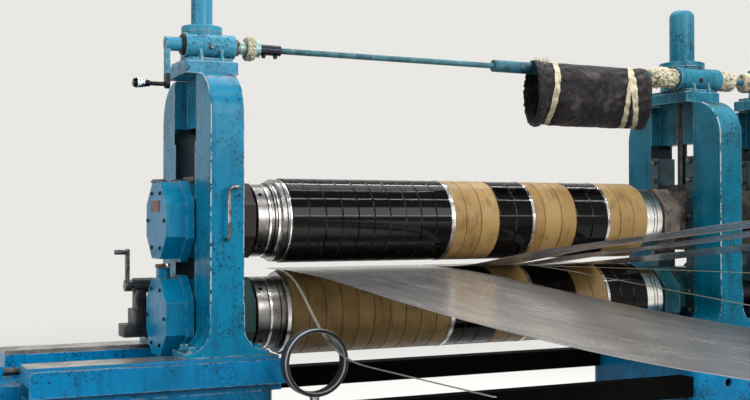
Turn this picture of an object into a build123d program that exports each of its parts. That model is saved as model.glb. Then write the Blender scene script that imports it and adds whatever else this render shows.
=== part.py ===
"""Coil slitter: two arbors of slitting tooling carried in three arch housings on two beds.

Units are millimetres. X runs along the arbors towards the drive end, Y runs along the strip away from
the operator, and Z is up from the floor. The origin is on the floor midway between the outer anchor holes.
"""

import os
from math import radians, tan

from build123d import *

# Stations along X
SPAN = 2160.0                        # outboard housing to inboard housing
DRIVE_SPAN = 510.0                   # inboard housing to drive housing
TRAVERSE_RUN = 700.0                 # outboard base's end to the outboard housing's outer face
DRIVE_RUN = 260.0                    # drive housing's outer face to the inboard base's end
BASE_RIGHT = (TRAVERSE_RUN + SPAN + DRIVE_SPAN + DRIVE_RUN) / 2
BASE_LEFT = -BASE_RIGHT
OUT_X = BASE_LEFT + TRAVERSE_RUN     # outer face of the outboard housing
IN_X = OUT_X + SPAN
DRV_X = IN_X + DRIVE_SPAN
BED_BEHIND = 576.0                   # outboard bed, past the housing's outer face
BED_AHEAD = 229.0                    # the same, towards the strip
INNER_BED_AHEAD = 200.0
BED_LEFT = OUT_X - BED_BEHIND
BED_RIGHT = OUT_X + BED_AHEAD
INNER_BED_LEFT = IN_X - INNER_BED_AHEAD

# Heights
BED_Z = 700.0                        # running surface of the ways
LOWER_Z = BED_Z + 114.0              # lower arbor axis
ARBOR_GAP = 330.0                    # axis to axis
UPPER_Z = LOWER_Z + ARBOR_GAP

# Widths along Y of the beds and their ways, each side of the middle
BED_HALF = 375.0
WAY_W = 130.0
WAY_EDGE = 55.0                      # way to the bed's edge
WAY_HIGH = BED_HALF - WAY_EDGE
WAY_LOW = WAY_HIGH - WAY_W

# Arch housing
ARCH_T = 118.0                       # along X
ARCH_HALF = 297.0                    # half width along Y
ARCH_H = 945.0
SHOULDER_R = 150.0
ARRIS_R = 9.0
WINDOW_W = 270.0
CROWN_H = 174.0                      # window's top to the arch's top
WINDOW_TOP = ARCH_H - CROWN_H
WINDOW_R = 25.0
SILL_TOP = -14.0
SILL_DEPTH = 62.0
SILL_CLEAR = 14.0                    # sill to the way beside it
SILL_HALF = WAY_LOW - SILL_CLEAR
WEB_RECESS = 48.0
BACK_RECESS = 14.0
FOOT_FLARE = 85.0
FOOT_T = 16.0
FOOT_R = 78.0
FOOT_INNER = 150.0
FOOT_BOLT_D = 26.0
FOOT_BOLT_OUT = 52.0
FOOT_BOLT_PITCH = 90.0
LINER_T = 17.0
LINER_DROP = 56.0                    # liner's top, below the window's
LINER_TOP = WINDOW_TOP - LINER_DROP
LIP_T = 12.0                         # inboard liner's lip, over the chock's outer face
LIP_IN = 90.0                        # lip's edge to the middle
LIP_CLEAR = 5.0

# Cap and screw jack
CAP_X, CAP_Y, CAP_T = 185.0, 265.0, 44.0
CAP_R = 8.0
CAP_TOP = BED_Z + ARCH_H + CAP_T
JACK_PAD_T = 12.0
JACK_H = 135.0                       # cap to the top of the jack's flange
JACK_TOP = CAP_TOP + JACK_H
FLANGE_T = 22.0
RIB_T = 9.0
SCREW_D = 40.0
SCREW_BORE = 42.0
SCREW_FOOT_X, SCREW_FOOT_Y, SCREW_FOOT_T = 96.0, 150.0, 24.0
WORM_Y = -74.0
WORM_RISE = 58.0                     # cap to the worm's axis
WORM_Z = CAP_TOP + WORM_RISE         # axis of the worms and of the cross shaft
WORM_SHAFT_D = 28.0
WORM_BORE = 28.6
OUT_WORM_FROM, OUT_WORM_TO, OUT_WORM_D = -26.0, 150.0, 84.0
OUT_CASE_D, OUT_FLANGE_D, OUT_RIB_PITCH = 150.0, 143.0, 74.0
IN_WORM_FROM, IN_WORM_TO, IN_WORM_D = -44.0, 180.0, 98.0
IN_CASE_D, IN_FLANGE_D, IN_RIB_PITCH = 186.0, 192.0, 78.0
COVER_H = 231.0                      # screw cover, above the jack's flange
COVER_TOP = JACK_TOP + COVER_H
OUT_COVER_D, IN_COVER_D = 75.0, 106.0
COVER_HEADROOM = 100.0               # left over the screw at rest

# Chocks
CHOCK_CLEAR = 0.5                    # each side, chock to liner
CHOCK_H = 256.0
CHOCK_CHAMFER = 58.0
COVER_AF = 262.0                     # across flats of the octagon cover
KEEPER_AF = 284.0
KEEPER_T = 26.0
KEEPER_GAP = 8.0                     # keeper to housing face
COVER_OUT = 102.0                    # octagon cover, past the outer face
BOSS_IN = 97.0                       # octagon boss, past the inner face
INNER_BOSS = 149.0                   # the same boss on the inboard housing
NECK_AF = 168.0                      # neck between an inboard chock's core and its octagon plate
PLATE_BACK = 71.0                    # back of that plate to the housing's outer face
JOURNAL_D = 130.0
JOURNAL_BORE = 130.6
BLIND_END = -62.0

# Arbors and tooling
SHAFT_D = 180.0
RING_D = 305.0
KNIFE_D = 308.0
NUT_D = 258.0
COLLAR_D = 262.0
RUN_GAP = 0.3                        # between faces of different bodies that only run together
NUT_START = OUT_X + 226.0
NUT_W = 62.0
NUT_STACK = 119.0                    # nut and clamp rings together
TOOL_START = NUT_START + NUT_STACK
SPANNER_HOLE_D, SPANNER_HOLE_DEPTH, SPANNER_HOLE_R = 18.0, 18.0, 104.0
COLLAR_SETBACK = 161.0               # collar's end to the inboard housing
COLLAR_W = 94.0
COLLAR_TO = IN_X - COLLAR_SETBACK
COLLAR_FROM = COLLAR_TO - COLLAR_W
DRIVE_STUB_END = DRV_X + 330.0
DRIVE_STUB_D = 90.0
KEYWAY_W, KEYWAY_DEPTH, KEYWAY_LEN = 25.0, 9.0, 45.0

# Knives, from the collar back. Each strip width fills with rings, at these shares of it.
KNIFE_W = 12.0
FIRST_KNIFE_W = 16.0
LAST_W = 191.0                       # last knife to the collar
STRIP_2_W = 345.0
STRIP_3_W = 347.0
KNIFE_3 = COLLAR_FROM - LAST_W - KNIFE_W
KNIFE_2 = KNIFE_3 - STRIP_3_W - KNIFE_W
KNIFE_1 = KNIFE_2 - STRIP_2_W - FIRST_KNIFE_W
WIDE_SHARES = [i / 10 for i in range(11)]
STRIP_2_SHARES = [0, 0.142, 0.330, 0.565, 0.786, 1]
STRIP_3_SHARES = [0, 0.130, 0.357, 0.565, 0.787, 1]
LAST_SHARES = [0, 0.277, 0.623, 1]
TAN_COUNT = 3                        # rings of the first colour in each narrow width
RIM_EASE = 1.5

# Cross shaft
CRANK_R = 139.0
ROD_D = 22.0
TUBE_D = 47.0
TUBE_BORE = 23.0
TUBE_LEN = 757.0
TUBE_SETBACK = 192.0                 # tube's end to the inboard housing
TUBE_END = IN_X - TUBE_SETBACK
TUBE_START = TUBE_END - TUBE_LEN
ROD_IN_TUBE = 489.0
ROD_END = TUBE_START + ROD_IN_TUBE
SLEEVE_R = 125.0
SLEEVE_T = 3.0
SLEEVE_LEN = 548.0
SLEEVE_SKEW = 21.0                   # degrees that its two ends are cut from square
SLEEVE_END = TUBE_END - 30.0
SLEEVE_START = SLEEVE_END - SLEEVE_LEN

# Beds, bases and tie rails
WAY_T = 14.0
BED_PLATE = 40.0
BED_LIP = 85.0
BED_LIP_T = 24.0
TROUGH_Z = 92.0
TRAVERSE_SCREW_D = 26.0
TRAVERSE_SCREW_Z = BED_Z - 46.0
BASE_HALF = 340.0
BASE_TOP = 110.0                     # below the ways
BASE_WALL = 16.0
BASE_CORNER_R = 60.0
PEDESTAL_W = 400.0
PEDESTAL_DROP = 66.0                 # pedestal's top, below the ways
SOLE_T = 30.0
SOLE_OUT = 45.0
ANCHOR_D = 28.0
ANCHOR_IN = 36.0                     # anchor hole to the sole's edge
RAIL_W = 80.0
RAIL_WALL = 8.0
FRONT_RAIL_TOP = 178.0
REAR_RAIL_TOP = 125.0

# Strip
STRIP_T = 1.5
STRIP_BACK = 120.0                   # strip standing behind the nip
LOWER_TOP_Z = LOWER_Z + RING_D / 2
STRIP_Z = LOWER_TOP_Z + RUN_GAP      # underside at the nip


def x_cylinder(x_from, x_to, diameter, y=0.0, z=0.0, bore=0.0):
    """A round bar or tube lying along X."""
    with BuildPart() as bar:
        with BuildSketch(Plane.YZ.offset(x_from)):
            with Locations((y, z)):
                Circle(diameter / 2)
                if bore:
                    Circle(bore / 2, mode=Mode.SUBTRACT)
        extrude(amount=x_to - x_from)
    return bar.part


def turned(profile, z, bore=0.0, y=0.0):
    """A turned piece on the X axis at height z, from steps of (x start, x end, diameter)."""
    with BuildPart() as piece:
        for x_from, x_to, diameter in profile:
            with BuildSketch(Plane.YZ.offset(x_from)):
                with Locations((y, z)):
                    Circle(diameter / 2)
            extrude(amount=x_to - x_from)
        if bore:
            with BuildSketch(Plane.YZ.offset(profile[0][0])):
                with Locations((y, z)):
                    Circle(bore / 2)
            extrude(amount=profile[-1][1] - profile[0][0], mode=Mode.SUBTRACT)
    return piece.part


def octagon(x_from, x_to, across, z):
    """An eight-sided plate standing across X, flats up and to the sides."""
    with BuildPart() as plate:
        with BuildSketch(Plane.YZ.offset(x_from)):
            with Locations((0, z)):
                RegularPolygon(across / 2, 8, major_radius=False, rotation=22.5)
        extrude(amount=x_to - x_from)
    return plate.part


def chock(x_face, z, cover_out, boss_in, blind_at):
    """An outboard chock: core between the liners, keepers, an octagon boss each side, and a blind bore."""
    x_back = x_face + ARCH_T
    with BuildPart() as body:
        with BuildSketch(Plane.YZ.offset(x_face - KEEPER_GAP)):
            with Locations((0, z)):
                Rectangle(WINDOW_W - 2 * LINER_T - 2 * CHOCK_CLEAR, CHOCK_H)
            chamfer(vertices(), CHOCK_CHAMFER)
        extrude(amount=ARCH_T + 2 * KEEPER_GAP)
        add(octagon(x_face - KEEPER_GAP - KEEPER_T, x_face - KEEPER_GAP, KEEPER_AF, z))
        add(octagon(x_back + KEEPER_GAP, x_back + KEEPER_GAP + KEEPER_T, KEEPER_AF, z))
        add(octagon(x_face - cover_out, x_face - KEEPER_GAP - KEEPER_T, COVER_AF, z))
        add(octagon(x_back + KEEPER_GAP + KEEPER_T, x_back + boss_in, COVER_AF, z))
        bore_from = x_face + blind_at - 10.0
        add(x_cylinder(bore_from, x_back + boss_in, JOURNAL_BORE, 0, z), mode=Mode.SUBTRACT)
    return body.part


def inboard_chock(x_face, z, boss_out):
    """A chock held behind the liner's lips: its core, a neck between the lips, and an octagon plate."""
    x_back = x_face + ARCH_T
    core_from = x_face + LIP_T + LIP_CLEAR
    with BuildPart() as body:
        with BuildSketch(Plane.YZ.offset(core_from)):
            with Locations((0, z)):
                Rectangle(WINDOW_W - 2 * LINER_T - 2 * CHOCK_CLEAR, CHOCK_H)
            chamfer(vertices(), CHOCK_CHAMFER)
        extrude(amount=x_back + KEEPER_GAP - core_from)
        add(octagon(x_face - PLATE_BACK, core_from, NECK_AF, z))
        add(octagon(x_face - boss_out, x_face - PLATE_BACK, COVER_AF, z))
        add(octagon(x_back + KEEPER_GAP, x_back + KEEPER_GAP + KEEPER_T, KEEPER_AF, z))
        add(octagon(x_back + KEEPER_GAP + KEEPER_T, x_back + BOSS_IN, COVER_AF, z))
        add(x_cylinder(x_face - boss_out, x_back + BOSS_IN, JOURNAL_BORE, 0, z), mode=Mode.SUBTRACT)
    return body.part


def jack(x_face, worm_from, worm_to, worm_d, case_d, ring_d, rib_pitch):
    """A worm-gear screw jack on its pad, with the worm housing in front and two ribs down to the pad."""
    x_mid = x_face + ARCH_T / 2
    with BuildPart() as body:
        with BuildSketch(Plane.XY.offset(CAP_TOP)):
            with Locations((x_mid, 0)):
                RectangleRounded(CAP_X - 28, CAP_Y - 24, 14)
        extrude(amount=JACK_PAD_T)
        with BuildSketch(Plane.XY.offset(CAP_TOP + JACK_PAD_T)):
            with Locations((x_mid, 0)):
                Circle(case_d / 2)
        extrude(amount=JACK_H - FLANGE_T - JACK_PAD_T, taper=4)
        with BuildSketch(Plane.YZ.offset(x_face + worm_from)):
            with Locations((WORM_Y, WORM_Z)):
                Circle(worm_d / 2)
        extrude(amount=worm_to - worm_from)
        with BuildSketch(Plane.XY.offset(JACK_TOP - FLANGE_T)):
            with Locations((x_mid, 0)):
                Circle(ring_d / 2)
        extrude(amount=FLANGE_T)
        fillet(edges().filter_by(GeomType.CIRCLE).group_by(Axis.Z)[-1], 5)
        for side in (-1, 1):
            rib_x = x_mid + side * rib_pitch / 2
            with BuildSketch(Plane.YZ.offset(rib_x - RIB_T / 2)):
                with BuildLine():
                    Polyline(
                        (WORM_Y, CAP_TOP + 1),
                        (-CAP_Y / 2 + 3, CAP_TOP + 1),
                        (-CAP_Y / 2 + 3, CAP_TOP + 8),
                        (WORM_Y - worm_d / 2 + 4, WORM_Z - 14),
                        (WORM_Y, WORM_Z - 14),
                        close=True,
                    )
                make_face()
            extrude(amount=RIB_T)
        with BuildSketch(Plane.XY.offset(CAP_TOP)):
            with Locations((x_mid, 0)):
                Circle(SCREW_BORE / 2)
        extrude(amount=JACK_H, mode=Mode.SUBTRACT)
        with BuildSketch(Plane.YZ.offset(x_face + worm_from)):
            with Locations((WORM_Y, WORM_Z)):
                Circle(WORM_BORE / 2)
        extrude(amount=worm_to - worm_from, mode=Mode.SUBTRACT)
    return body.part


def screw_cover(x_face, diameter):
    """The closed tube that covers the rising screw."""
    x_mid = x_face + ARCH_T / 2
    with BuildPart() as cover:
        with BuildSketch(Plane.XY.offset(JACK_TOP)):
            with Locations((x_mid, 0)):
                Circle(diameter / 2)
        extrude(amount=COVER_H)
        fillet(edges().group_by(Axis.Z)[-1], diameter * 0.3)
        with BuildSketch(Plane.XY.offset(JACK_TOP)):
            with Locations((x_mid, 0)):
                Circle(SCREW_BORE / 2 + 4)
        extrude(amount=COVER_H - FLANGE_T, mode=Mode.SUBTRACT)
    return cover.part


def screw(x_face):
    """The lifting screw, from the chock's top up into its cover."""
    with BuildPart() as stem:
        with BuildSketch(Plane.XY.offset(UPPER_Z + CHOCK_H / 2)):
            with Locations((x_face + ARCH_T / 2, 0)):
                Circle(SCREW_D / 2)
        extrude(amount=COVER_TOP - COVER_HEADROOM - UPPER_Z - CHOCK_H / 2)
        with BuildSketch(Plane.XY.offset(UPPER_Z + CHOCK_H / 2)):
            with Locations((x_face + ARCH_T / 2, 0)):
                RectangleRounded(SCREW_FOOT_X, SCREW_FOOT_Y, 12)
        extrude(amount=SCREW_FOOT_T)
    return stem.part


def ring_stack(edges_x, z, diameter, bore=SHAFT_D):
    """Tooling rings side by side, from their edges along X, each eased at its rim."""
    with BuildPart() as stack:
        for left, right in zip(edges_x[:-1], edges_x[1:]):
            with BuildSketch(Plane.XZ):
                with BuildLine():
                    Polyline(
                        (left, z + bore / 2),
                        (left, z + diameter / 2 - RIM_EASE),
                        (left + RIM_EASE, z + diameter / 2),
                        (right - RIM_EASE, z + diameter / 2),
                        (right, z + diameter / 2 - RIM_EASE),
                        (right, z + bore / 2),
                        close=True,
                    )
                make_face()
            revolve(axis=Axis((0, 0, z), (1, 0, 0)))
    return stack.part


def ring_edges(x_from, x_to, shares):
    """The edges of the rings that fill a width."""
    return [x_from + share * (x_to - x_from) for share in shares]


def strip(x_from, x_to, route):
    """A band of strip across X: level at the nip, then along a route of (y, z) points on its underside."""
    (y_last, z_last), (y_end, z_end) = route[-2:]
    heading = (y_end - y_last, z_end - z_last)
    raised = [(y, z + STRIP_T) for y, z in route]
    with BuildPart() as band:
        with BuildSketch(Plane.YZ.offset(x_from)):
            with BuildLine():
                Line((STRIP_BACK, STRIP_Z), (0, STRIP_Z))
                Spline((0, STRIP_Z), *route, tangents=[(-1, 0), heading])
                Line(route[-1], raised[-1])
                Spline((0, STRIP_Z + STRIP_T), *raised, tangents=[(-1, 0), heading])
                Line((0, STRIP_Z + STRIP_T), (STRIP_BACK, STRIP_Z + STRIP_T))
                Line((STRIP_BACK, STRIP_Z + STRIP_T), (STRIP_BACK, STRIP_Z))
            make_face()
        extrude(amount=x_to - x_from)
    return band.part


# Outboard housing: an arch with a window for the chocks and a web recessed between its rims
x_mid = OUT_X + ARCH_T / 2
with BuildPart() as outboard_housing:
    with BuildSketch(Plane.YZ.offset(OUT_X)):
        with Locations((0, BED_Z + ARCH_H / 2)):
            Rectangle(2 * ARCH_HALF, ARCH_H)
        fillet(vertices().group_by(Axis.Y)[-1], SHOULDER_R)
    extrude(amount=ARCH_T)
    rims = edges().filter_by(Plane.YZ)
    fillet(rims.filter_by(lambda e: e.center().Z > BED_Z + 1), ARRIS_R)
    with BuildSketch(Plane.YZ.offset(OUT_X)):
        with Locations((0, BED_Z + SILL_TOP - SILL_DEPTH / 2)):
            Rectangle(2 * SILL_HALF, SILL_DEPTH)
        with Locations((0, BED_Z + SILL_TOP / 2)):
            Rectangle(2 * SILL_HALF, -SILL_TOP)
    extrude(amount=ARCH_T)
    with BuildSketch(Plane.XZ.offset(ARCH_HALF)):
        with Locations((x_mid, BED_Z + FOOT_T / 2)):
            Rectangle(ARCH_T + 2 * FOOT_FLARE, FOOT_T)
        with Locations((x_mid, BED_Z + FOOT_T + FOOT_R)):
            Rectangle(ARCH_T, 2 * FOOT_R)
        inner = vertices().filter_by_position(Axis.Y, BED_Z + FOOT_T - 1, BED_Z + FOOT_T + 1)
        fillet(inner.sort_by(Axis.X)[1:3], FOOT_R)
    extrude(amount=-(ARCH_HALF - FOOT_INNER))
    mirror(about=Plane.XZ)
    with BuildSketch(Plane.YZ.offset(OUT_X)):
        with Locations((0, BED_Z + (WINDOW_TOP + SILL_TOP) / 2)):
            Rectangle(WINDOW_W, WINDOW_TOP - SILL_TOP)
        fillet(vertices().group_by(Axis.Y)[-1], WINDOW_R)
    extrude(amount=ARCH_T, mode=Mode.SUBTRACT)
    for face_x, depth in ((OUT_X, WEB_RECESS), (OUT_X + ARCH_T, -BACK_RECESS)):
        with BuildSketch(Plane.YZ.offset(face_x)):
            with Locations((0, BED_Z + (WINDOW_TOP - 2 * WINDOW_R + ARCH_H) / 2)):
                Rectangle(WINDOW_W, ARCH_H - WINDOW_TOP + 2 * WINDOW_R)
        extrude(amount=depth, mode=Mode.SUBTRACT)
    with BuildSketch(Plane.XY.offset(BED_Z + WINDOW_TOP - 5)):
        with Locations((x_mid, 0)):
            Circle(SCREW_BORE / 2)
    extrude(amount=ARCH_H - WINDOW_TOP + 10, mode=Mode.SUBTRACT)
    with BuildSketch(Plane.XY.offset(BED_Z)):
        for side in (-1, 1):
            with Locations((x_mid, side * (ARCH_HALF - FOOT_BOLT_PITCH / 2 - 25))):
                with GridLocations(ARCH_T + 2 * FOOT_BOLT_OUT, FOOT_BOLT_PITCH, 2, 2):
                    Circle(FOOT_BOLT_D / 2)
    extrude(amount=FOOT_T + 30, mode=Mode.SUBTRACT)
    add(x_cylinder(OUT_X, OUT_X + ARCH_T, TRAVERSE_SCREW_D + 2, 0, TRAVERSE_SCREW_Z), mode=Mode.SUBTRACT)

with BuildPart() as inboard_housing:
    with Locations((SPAN, 0, 0)):
        add(outboard_housing.part)

with BuildPart() as drive_housing:
    with Locations((SPAN + DRIVE_SPAN, 0, 0)):
        add(outboard_housing.part)

# Liners on the window's sides
with BuildPart() as outboard_liners:
    with BuildSketch(Plane.YZ.offset(OUT_X)):
        for side in (-1, 1):
            with Locations((side * (WINDOW_W - LINER_T) / 2, BED_Z + (LINER_TOP + SILL_TOP) / 2)):
                Rectangle(LINER_T, LINER_TOP - SILL_TOP)
    extrude(amount=ARCH_T)

# The inboard liners also have a lip, which keeps the chock in its window
with BuildPart() as inboard_liners:
    with Locations((SPAN, 0, 0), (SPAN + DRIVE_SPAN, 0, 0)):
        add(outboard_liners.part)
    for face_x in (IN_X, DRV_X):
        with BuildSketch(Plane.YZ.offset(face_x)):
            for side in (-1, 1):
                with Locations((side * (WINDOW_W / 2 + LIP_IN) / 2, BED_Z + (LINER_TOP + SILL_TOP) / 2)):
                    Rectangle(WINDOW_W / 2 - LIP_IN, LINER_TOP - SILL_TOP)
        extrude(amount=LIP_T)

# Caps over the arches
with BuildPart() as outboard_cap:
    with BuildSketch(Plane.XY.offset(BED_Z + ARCH_H)):
        with Locations((x_mid, 0)):
            RectangleRounded(CAP_X, CAP_Y, CAP_R)
            Circle(SCREW_BORE / 2, mode=Mode.SUBTRACT)
    extrude(amount=CAP_T)
    chamfer(faces().sort_by(Axis.Z)[-1].outer_wire().edges(), 3)

with BuildPart() as inboard_caps:
    with Locations((SPAN, 0, 0), (SPAN + DRIVE_SPAN, 0, 0)):
        add(outboard_cap.part)

# Screw jacks with their covers and screws
with BuildPart() as outboard_jack:
    add(jack(OUT_X, OUT_WORM_FROM, OUT_WORM_TO, OUT_WORM_D, OUT_CASE_D, OUT_FLANGE_D, OUT_RIB_PITCH))

with BuildPart() as inboard_jacks:
    with Locations((0, 0, 0), (DRIVE_SPAN, 0, 0)):
        add(jack(IN_X, IN_WORM_FROM, IN_WORM_TO, IN_WORM_D, IN_CASE_D, IN_FLANGE_D, IN_RIB_PITCH))

with BuildPart() as outboard_screw_cover:
    add(screw_cover(OUT_X, OUT_COVER_D))

with BuildPart() as inboard_screw_covers:
    with Locations((0, 0, 0), (DRIVE_SPAN, 0, 0)):
        add(screw_cover(IN_X, IN_COVER_D))

with BuildPart() as outboard_screw:
    add(screw(OUT_X))

with BuildPart() as inboard_screws:
    with Locations((0, 0, 0), (DRIVE_SPAN, 0, 0)):
        add(screw(IN_X))

# Chocks. The outboard pair is closed at its outer end, so the stand can draw off the arbors.
with BuildPart() as outboard_upper_chock:
    add(chock(OUT_X, UPPER_Z, COVER_OUT, BOSS_IN, blind_at=BLIND_END))

with BuildPart() as outboard_lower_chock:
    add(chock(OUT_X, LOWER_Z, COVER_OUT, BOSS_IN, blind_at=BLIND_END))
    for stop_x in (OUT_X - 74, OUT_X - 52):
        with BuildSketch(Plane.XY.offset(LOWER_Z + COVER_AF / 2 - 4)):
            with Locations((stop_x, 30)):
                Circle(8)
        extrude(amount=BED_Z + 294 - LOWER_Z - COVER_AF / 2 + 4)
    with BuildSketch(Plane.XY.offset(LOWER_Z + COVER_AF / 2)):
        with Locations((OUT_X - 88, -14)):
            Rectangle(24, 34)
    extrude(amount=37)
    with BuildSketch(Plane.XY.offset(LOWER_Z + COVER_AF / 2 + 37)):
        with Locations((OUT_X - 88, -14)):
            Rectangle(28, 44)
    extrude(amount=12)


with BuildPart() as inboard_upper_chocks:
    add(inboard_chock(IN_X, UPPER_Z, INNER_BOSS))
    add(inboard_chock(DRV_X, UPPER_Z, BOSS_IN))

with BuildPart() as inboard_lower_chocks:
    add(inboard_chock(IN_X, LOWER_Z, INNER_BOSS))
    add(inboard_chock(DRV_X, LOWER_Z, BOSS_IN))

# Arbor shafts: journal, tooling seat, collar, journal through two housings, keyed drive stub
shaft_steps = [
    (OUT_X + BLIND_END, OUT_X + ARCH_T + BOSS_IN + 6, JOURNAL_D),
    (OUT_X + ARCH_T + BOSS_IN + 6, COLLAR_FROM, SHAFT_D),
    (COLLAR_FROM, COLLAR_FROM + 6, 285),
    (COLLAR_FROM + 6, COLLAR_TO, COLLAR_D),
    (COLLAR_TO, IN_X - INNER_BOSS - 6, 200),
    (IN_X - INNER_BOSS - 6, DRV_X + ARCH_T + BOSS_IN + 6, JOURNAL_D),
    (DRV_X + ARCH_T + BOSS_IN + 6, DRIVE_STUB_END, DRIVE_STUB_D),
]
with BuildPart() as upper_shaft:
    add(turned(shaft_steps, UPPER_Z))
    chamfer(edges().filter_by(GeomType.CIRCLE).group_by(Axis.X)[-1], 3)
    with BuildSketch(Plane.XY.offset(UPPER_Z + DRIVE_STUB_D / 2 - KEYWAY_DEPTH)):
        with Locations((DRIVE_STUB_END - KEYWAY_LEN / 2, 0)):
            Rectangle(KEYWAY_LEN, KEYWAY_W)
    extrude(amount=KEYWAY_DEPTH + 5, mode=Mode.SUBTRACT)

with BuildPart() as lower_shaft:
    with Locations((0, 0, LOWER_Z - UPPER_Z)):
        add(upper_shaft.part)

# Arbor nuts: a round nut with spanner holes, then the polished clamp rings on the upper arbor
with BuildPart() as upper_nut:
    add(turned([(NUT_START, NUT_START + NUT_W, NUT_D)], UPPER_Z, SHAFT_D))
    with BuildSketch(Plane.YZ.offset(NUT_START)):
        with Locations((0, UPPER_Z)):
            with PolarLocations(SPANNER_HOLE_R, 6, start_angle=90):
                Circle(SPANNER_HOLE_D / 2)
    extrude(amount=SPANNER_HOLE_DEPTH, mode=Mode.SUBTRACT)
    clamp_at = NUT_START + NUT_W + 22
    add(turned([(NUT_START + NUT_W, clamp_at, 272), (clamp_at, TOOL_START, 296)], UPPER_Z, SHAFT_D))

with BuildPart() as lower_nut:
    add(turned([(NUT_START, TOOL_START - 15, NUT_D), (TOOL_START - 15, TOOL_START, 290)], LOWER_Z, SHAFT_D))
    with BuildSketch(Plane.YZ.offset(NUT_START)):
        with Locations((0, LOWER_Z)):
            with PolarLocations(SPANNER_HOLE_R, 6, start_angle=90):
                Circle(SPANNER_HOLE_D / 2)
    extrude(amount=SPANNER_HOLE_DEPTH, mode=Mode.SUBTRACT)

# Tooling: each pair of knives closes one strip width, and the rings between them change sides with it
WIDE = ring_edges(TOOL_START, KNIFE_1, WIDE_SHARES)
STRIP_2 = ring_edges(KNIFE_1 + FIRST_KNIFE_W, KNIFE_2, STRIP_2_SHARES)
STRIP_3 = ring_edges(KNIFE_2 + KNIFE_W, KNIFE_3, STRIP_3_SHARES)
LAST = ring_edges(KNIFE_3 + KNIFE_W, COLLAR_FROM, LAST_SHARES)
FIRST_COLOUR = (WIDE, STRIP_2[TAN_COUNT:], STRIP_3[TAN_COUNT:])
SECOND_COLOUR = (STRIP_2[:TAN_COUNT + 1], STRIP_3[:TAN_COUNT + 1], LAST)
KNIVES = ((KNIFE_1, FIRST_KNIFE_W), (KNIFE_2, KNIFE_W), (KNIFE_3, KNIFE_W))

with BuildPart() as upper_black_rings:
    for stack in FIRST_COLOUR:
        add(ring_stack(stack, UPPER_Z, RING_D))

with BuildPart() as upper_tan_rings:
    for stack in SECOND_COLOUR:
        add(ring_stack(stack, UPPER_Z, RING_D))

with BuildPart() as lower_tan_rings:
    for stack in FIRST_COLOUR:
        add(ring_stack(stack, LOWER_Z, RING_D))

with BuildPart() as lower_black_rings:
    for stack in SECOND_COLOUR:
        add(ring_stack(stack, LOWER_Z, RING_D))

with BuildPart() as upper_knives:
    for knife_x, width in KNIVES:
        add(x_cylinder(knife_x, knife_x + width, KNIFE_D, 0, UPPER_Z, SHAFT_D))

with BuildPart() as lower_knives:
    for knife_x, width in KNIVES:
        add(x_cylinder(knife_x, knife_x + width, KNIFE_D, 0, LOWER_Z, SHAFT_D))

# Cross shaft, outboard part: crank, worm shaft, jaw coupling, clamp and the rod that slides in the tube
CRANK_X = OUT_X - 92.0
with BuildPart() as crank_arm:
    add(x_cylinder(CRANK_X, OUT_X - 28, 48, WORM_Y, WORM_Z, WORM_SHAFT_D))
    with BuildSketch(Plane.YZ.offset(CRANK_X)):
        with Locations((WORM_Y, WORM_Z - CRANK_R / 2)):
            SlotCenterToCenter(CRANK_R, 30, rotation=90)
    extrude(amount=15)
    add(x_cylinder(CRANK_X - 50, CRANK_X + 1, 15, WORM_Y, WORM_Z - CRANK_R))
    add(x_cylinder(CRANK_X - 108, CRANK_X - 50, 10, WORM_Y, WORM_Z - CRANK_R))
    add(x_cylinder(CRANK_X - 2, CRANK_X + 20, WORM_SHAFT_D, WORM_Y, WORM_Z), mode=Mode.SUBTRACT)

with BuildPart() as crank_grip:
    with BuildSketch(Plane.XZ.offset(-WORM_Y)):
        with BuildLine():
            grip_z = WORM_Z - CRANK_R
            Polyline(
                (CRANK_X - 53, grip_z + 11),
                (CRANK_X - 53, grip_z + 5.3),
                (CRANK_X - 109, grip_z + 5.3),
                (CRANK_X - 109, grip_z + 12),
            )
            Spline(
                (CRANK_X - 109, grip_z + 12),
                (CRANK_X - 96, grip_z + 17.5),
                (CRANK_X - 76, grip_z + 15),
                (CRANK_X - 53, grip_z + 11),
            )
        make_face()
    revolve(axis=Axis((0, WORM_Y, grip_z), (1, 0, 0)))

with BuildPart() as cross_rod:
    add(turned([(CRANK_X, OUT_X + 170, WORM_SHAFT_D), (OUT_X + 170, ROD_END, ROD_D)], WORM_Z, 0, WORM_Y))

with BuildPart() as jaw_coupling:
    coupling_steps = [
        (OUT_X + 157, OUT_X + 166, 58),
        (OUT_X + 166, OUT_X + 196, 46),
        (OUT_X + 196, OUT_X + 222, 76),
        (OUT_X + 222, OUT_X + 244, 58),
        (OUT_X + 244, OUT_X + 324, 38),
    ]
    add(turned(coupling_steps, WORM_Z, ROD_D, WORM_Y))
    add(x_cylinder(OUT_X + 156, OUT_X + 170.2, WORM_SHAFT_D, WORM_Y, WORM_Z), mode=Mode.SUBTRACT)

# Cross shaft, inboard part: the tube, its taped coupling, and the shaft on to the drive jack
link_steps = [
    (TUBE_END, IN_X + 230, WORM_SHAFT_D),
    (IN_X + 230, DRV_X - 60, 24),
    (DRV_X - 60, DRV_X + 184, WORM_SHAFT_D),
]
with BuildPart() as drive_tube:
    add(x_cylinder(TUBE_START, TUBE_END, TUBE_D, WORM_Y, WORM_Z, TUBE_BORE))
    add(turned(link_steps, WORM_Z, 0, WORM_Y))

with BuildPart() as taped_couplings:
    add(turned([(TUBE_END, TUBE_END + 30, 60), (TUBE_END + 30, IN_X - 52, 78)], WORM_Z, WORM_SHAFT_D, WORM_Y))
    add(turned([(IN_X + 188, IN_X + 264, 84)], WORM_Z, 24, WORM_Y))
    add(x_cylinder(IN_X + 187, IN_X + 230.2, WORM_SHAFT_D, WORM_Y, WORM_Z), mode=Mode.SUBTRACT)
    add(turned([(DRV_X - 178, DRV_X - 60, 86)], WORM_Z, 24, WORM_Y))

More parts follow.
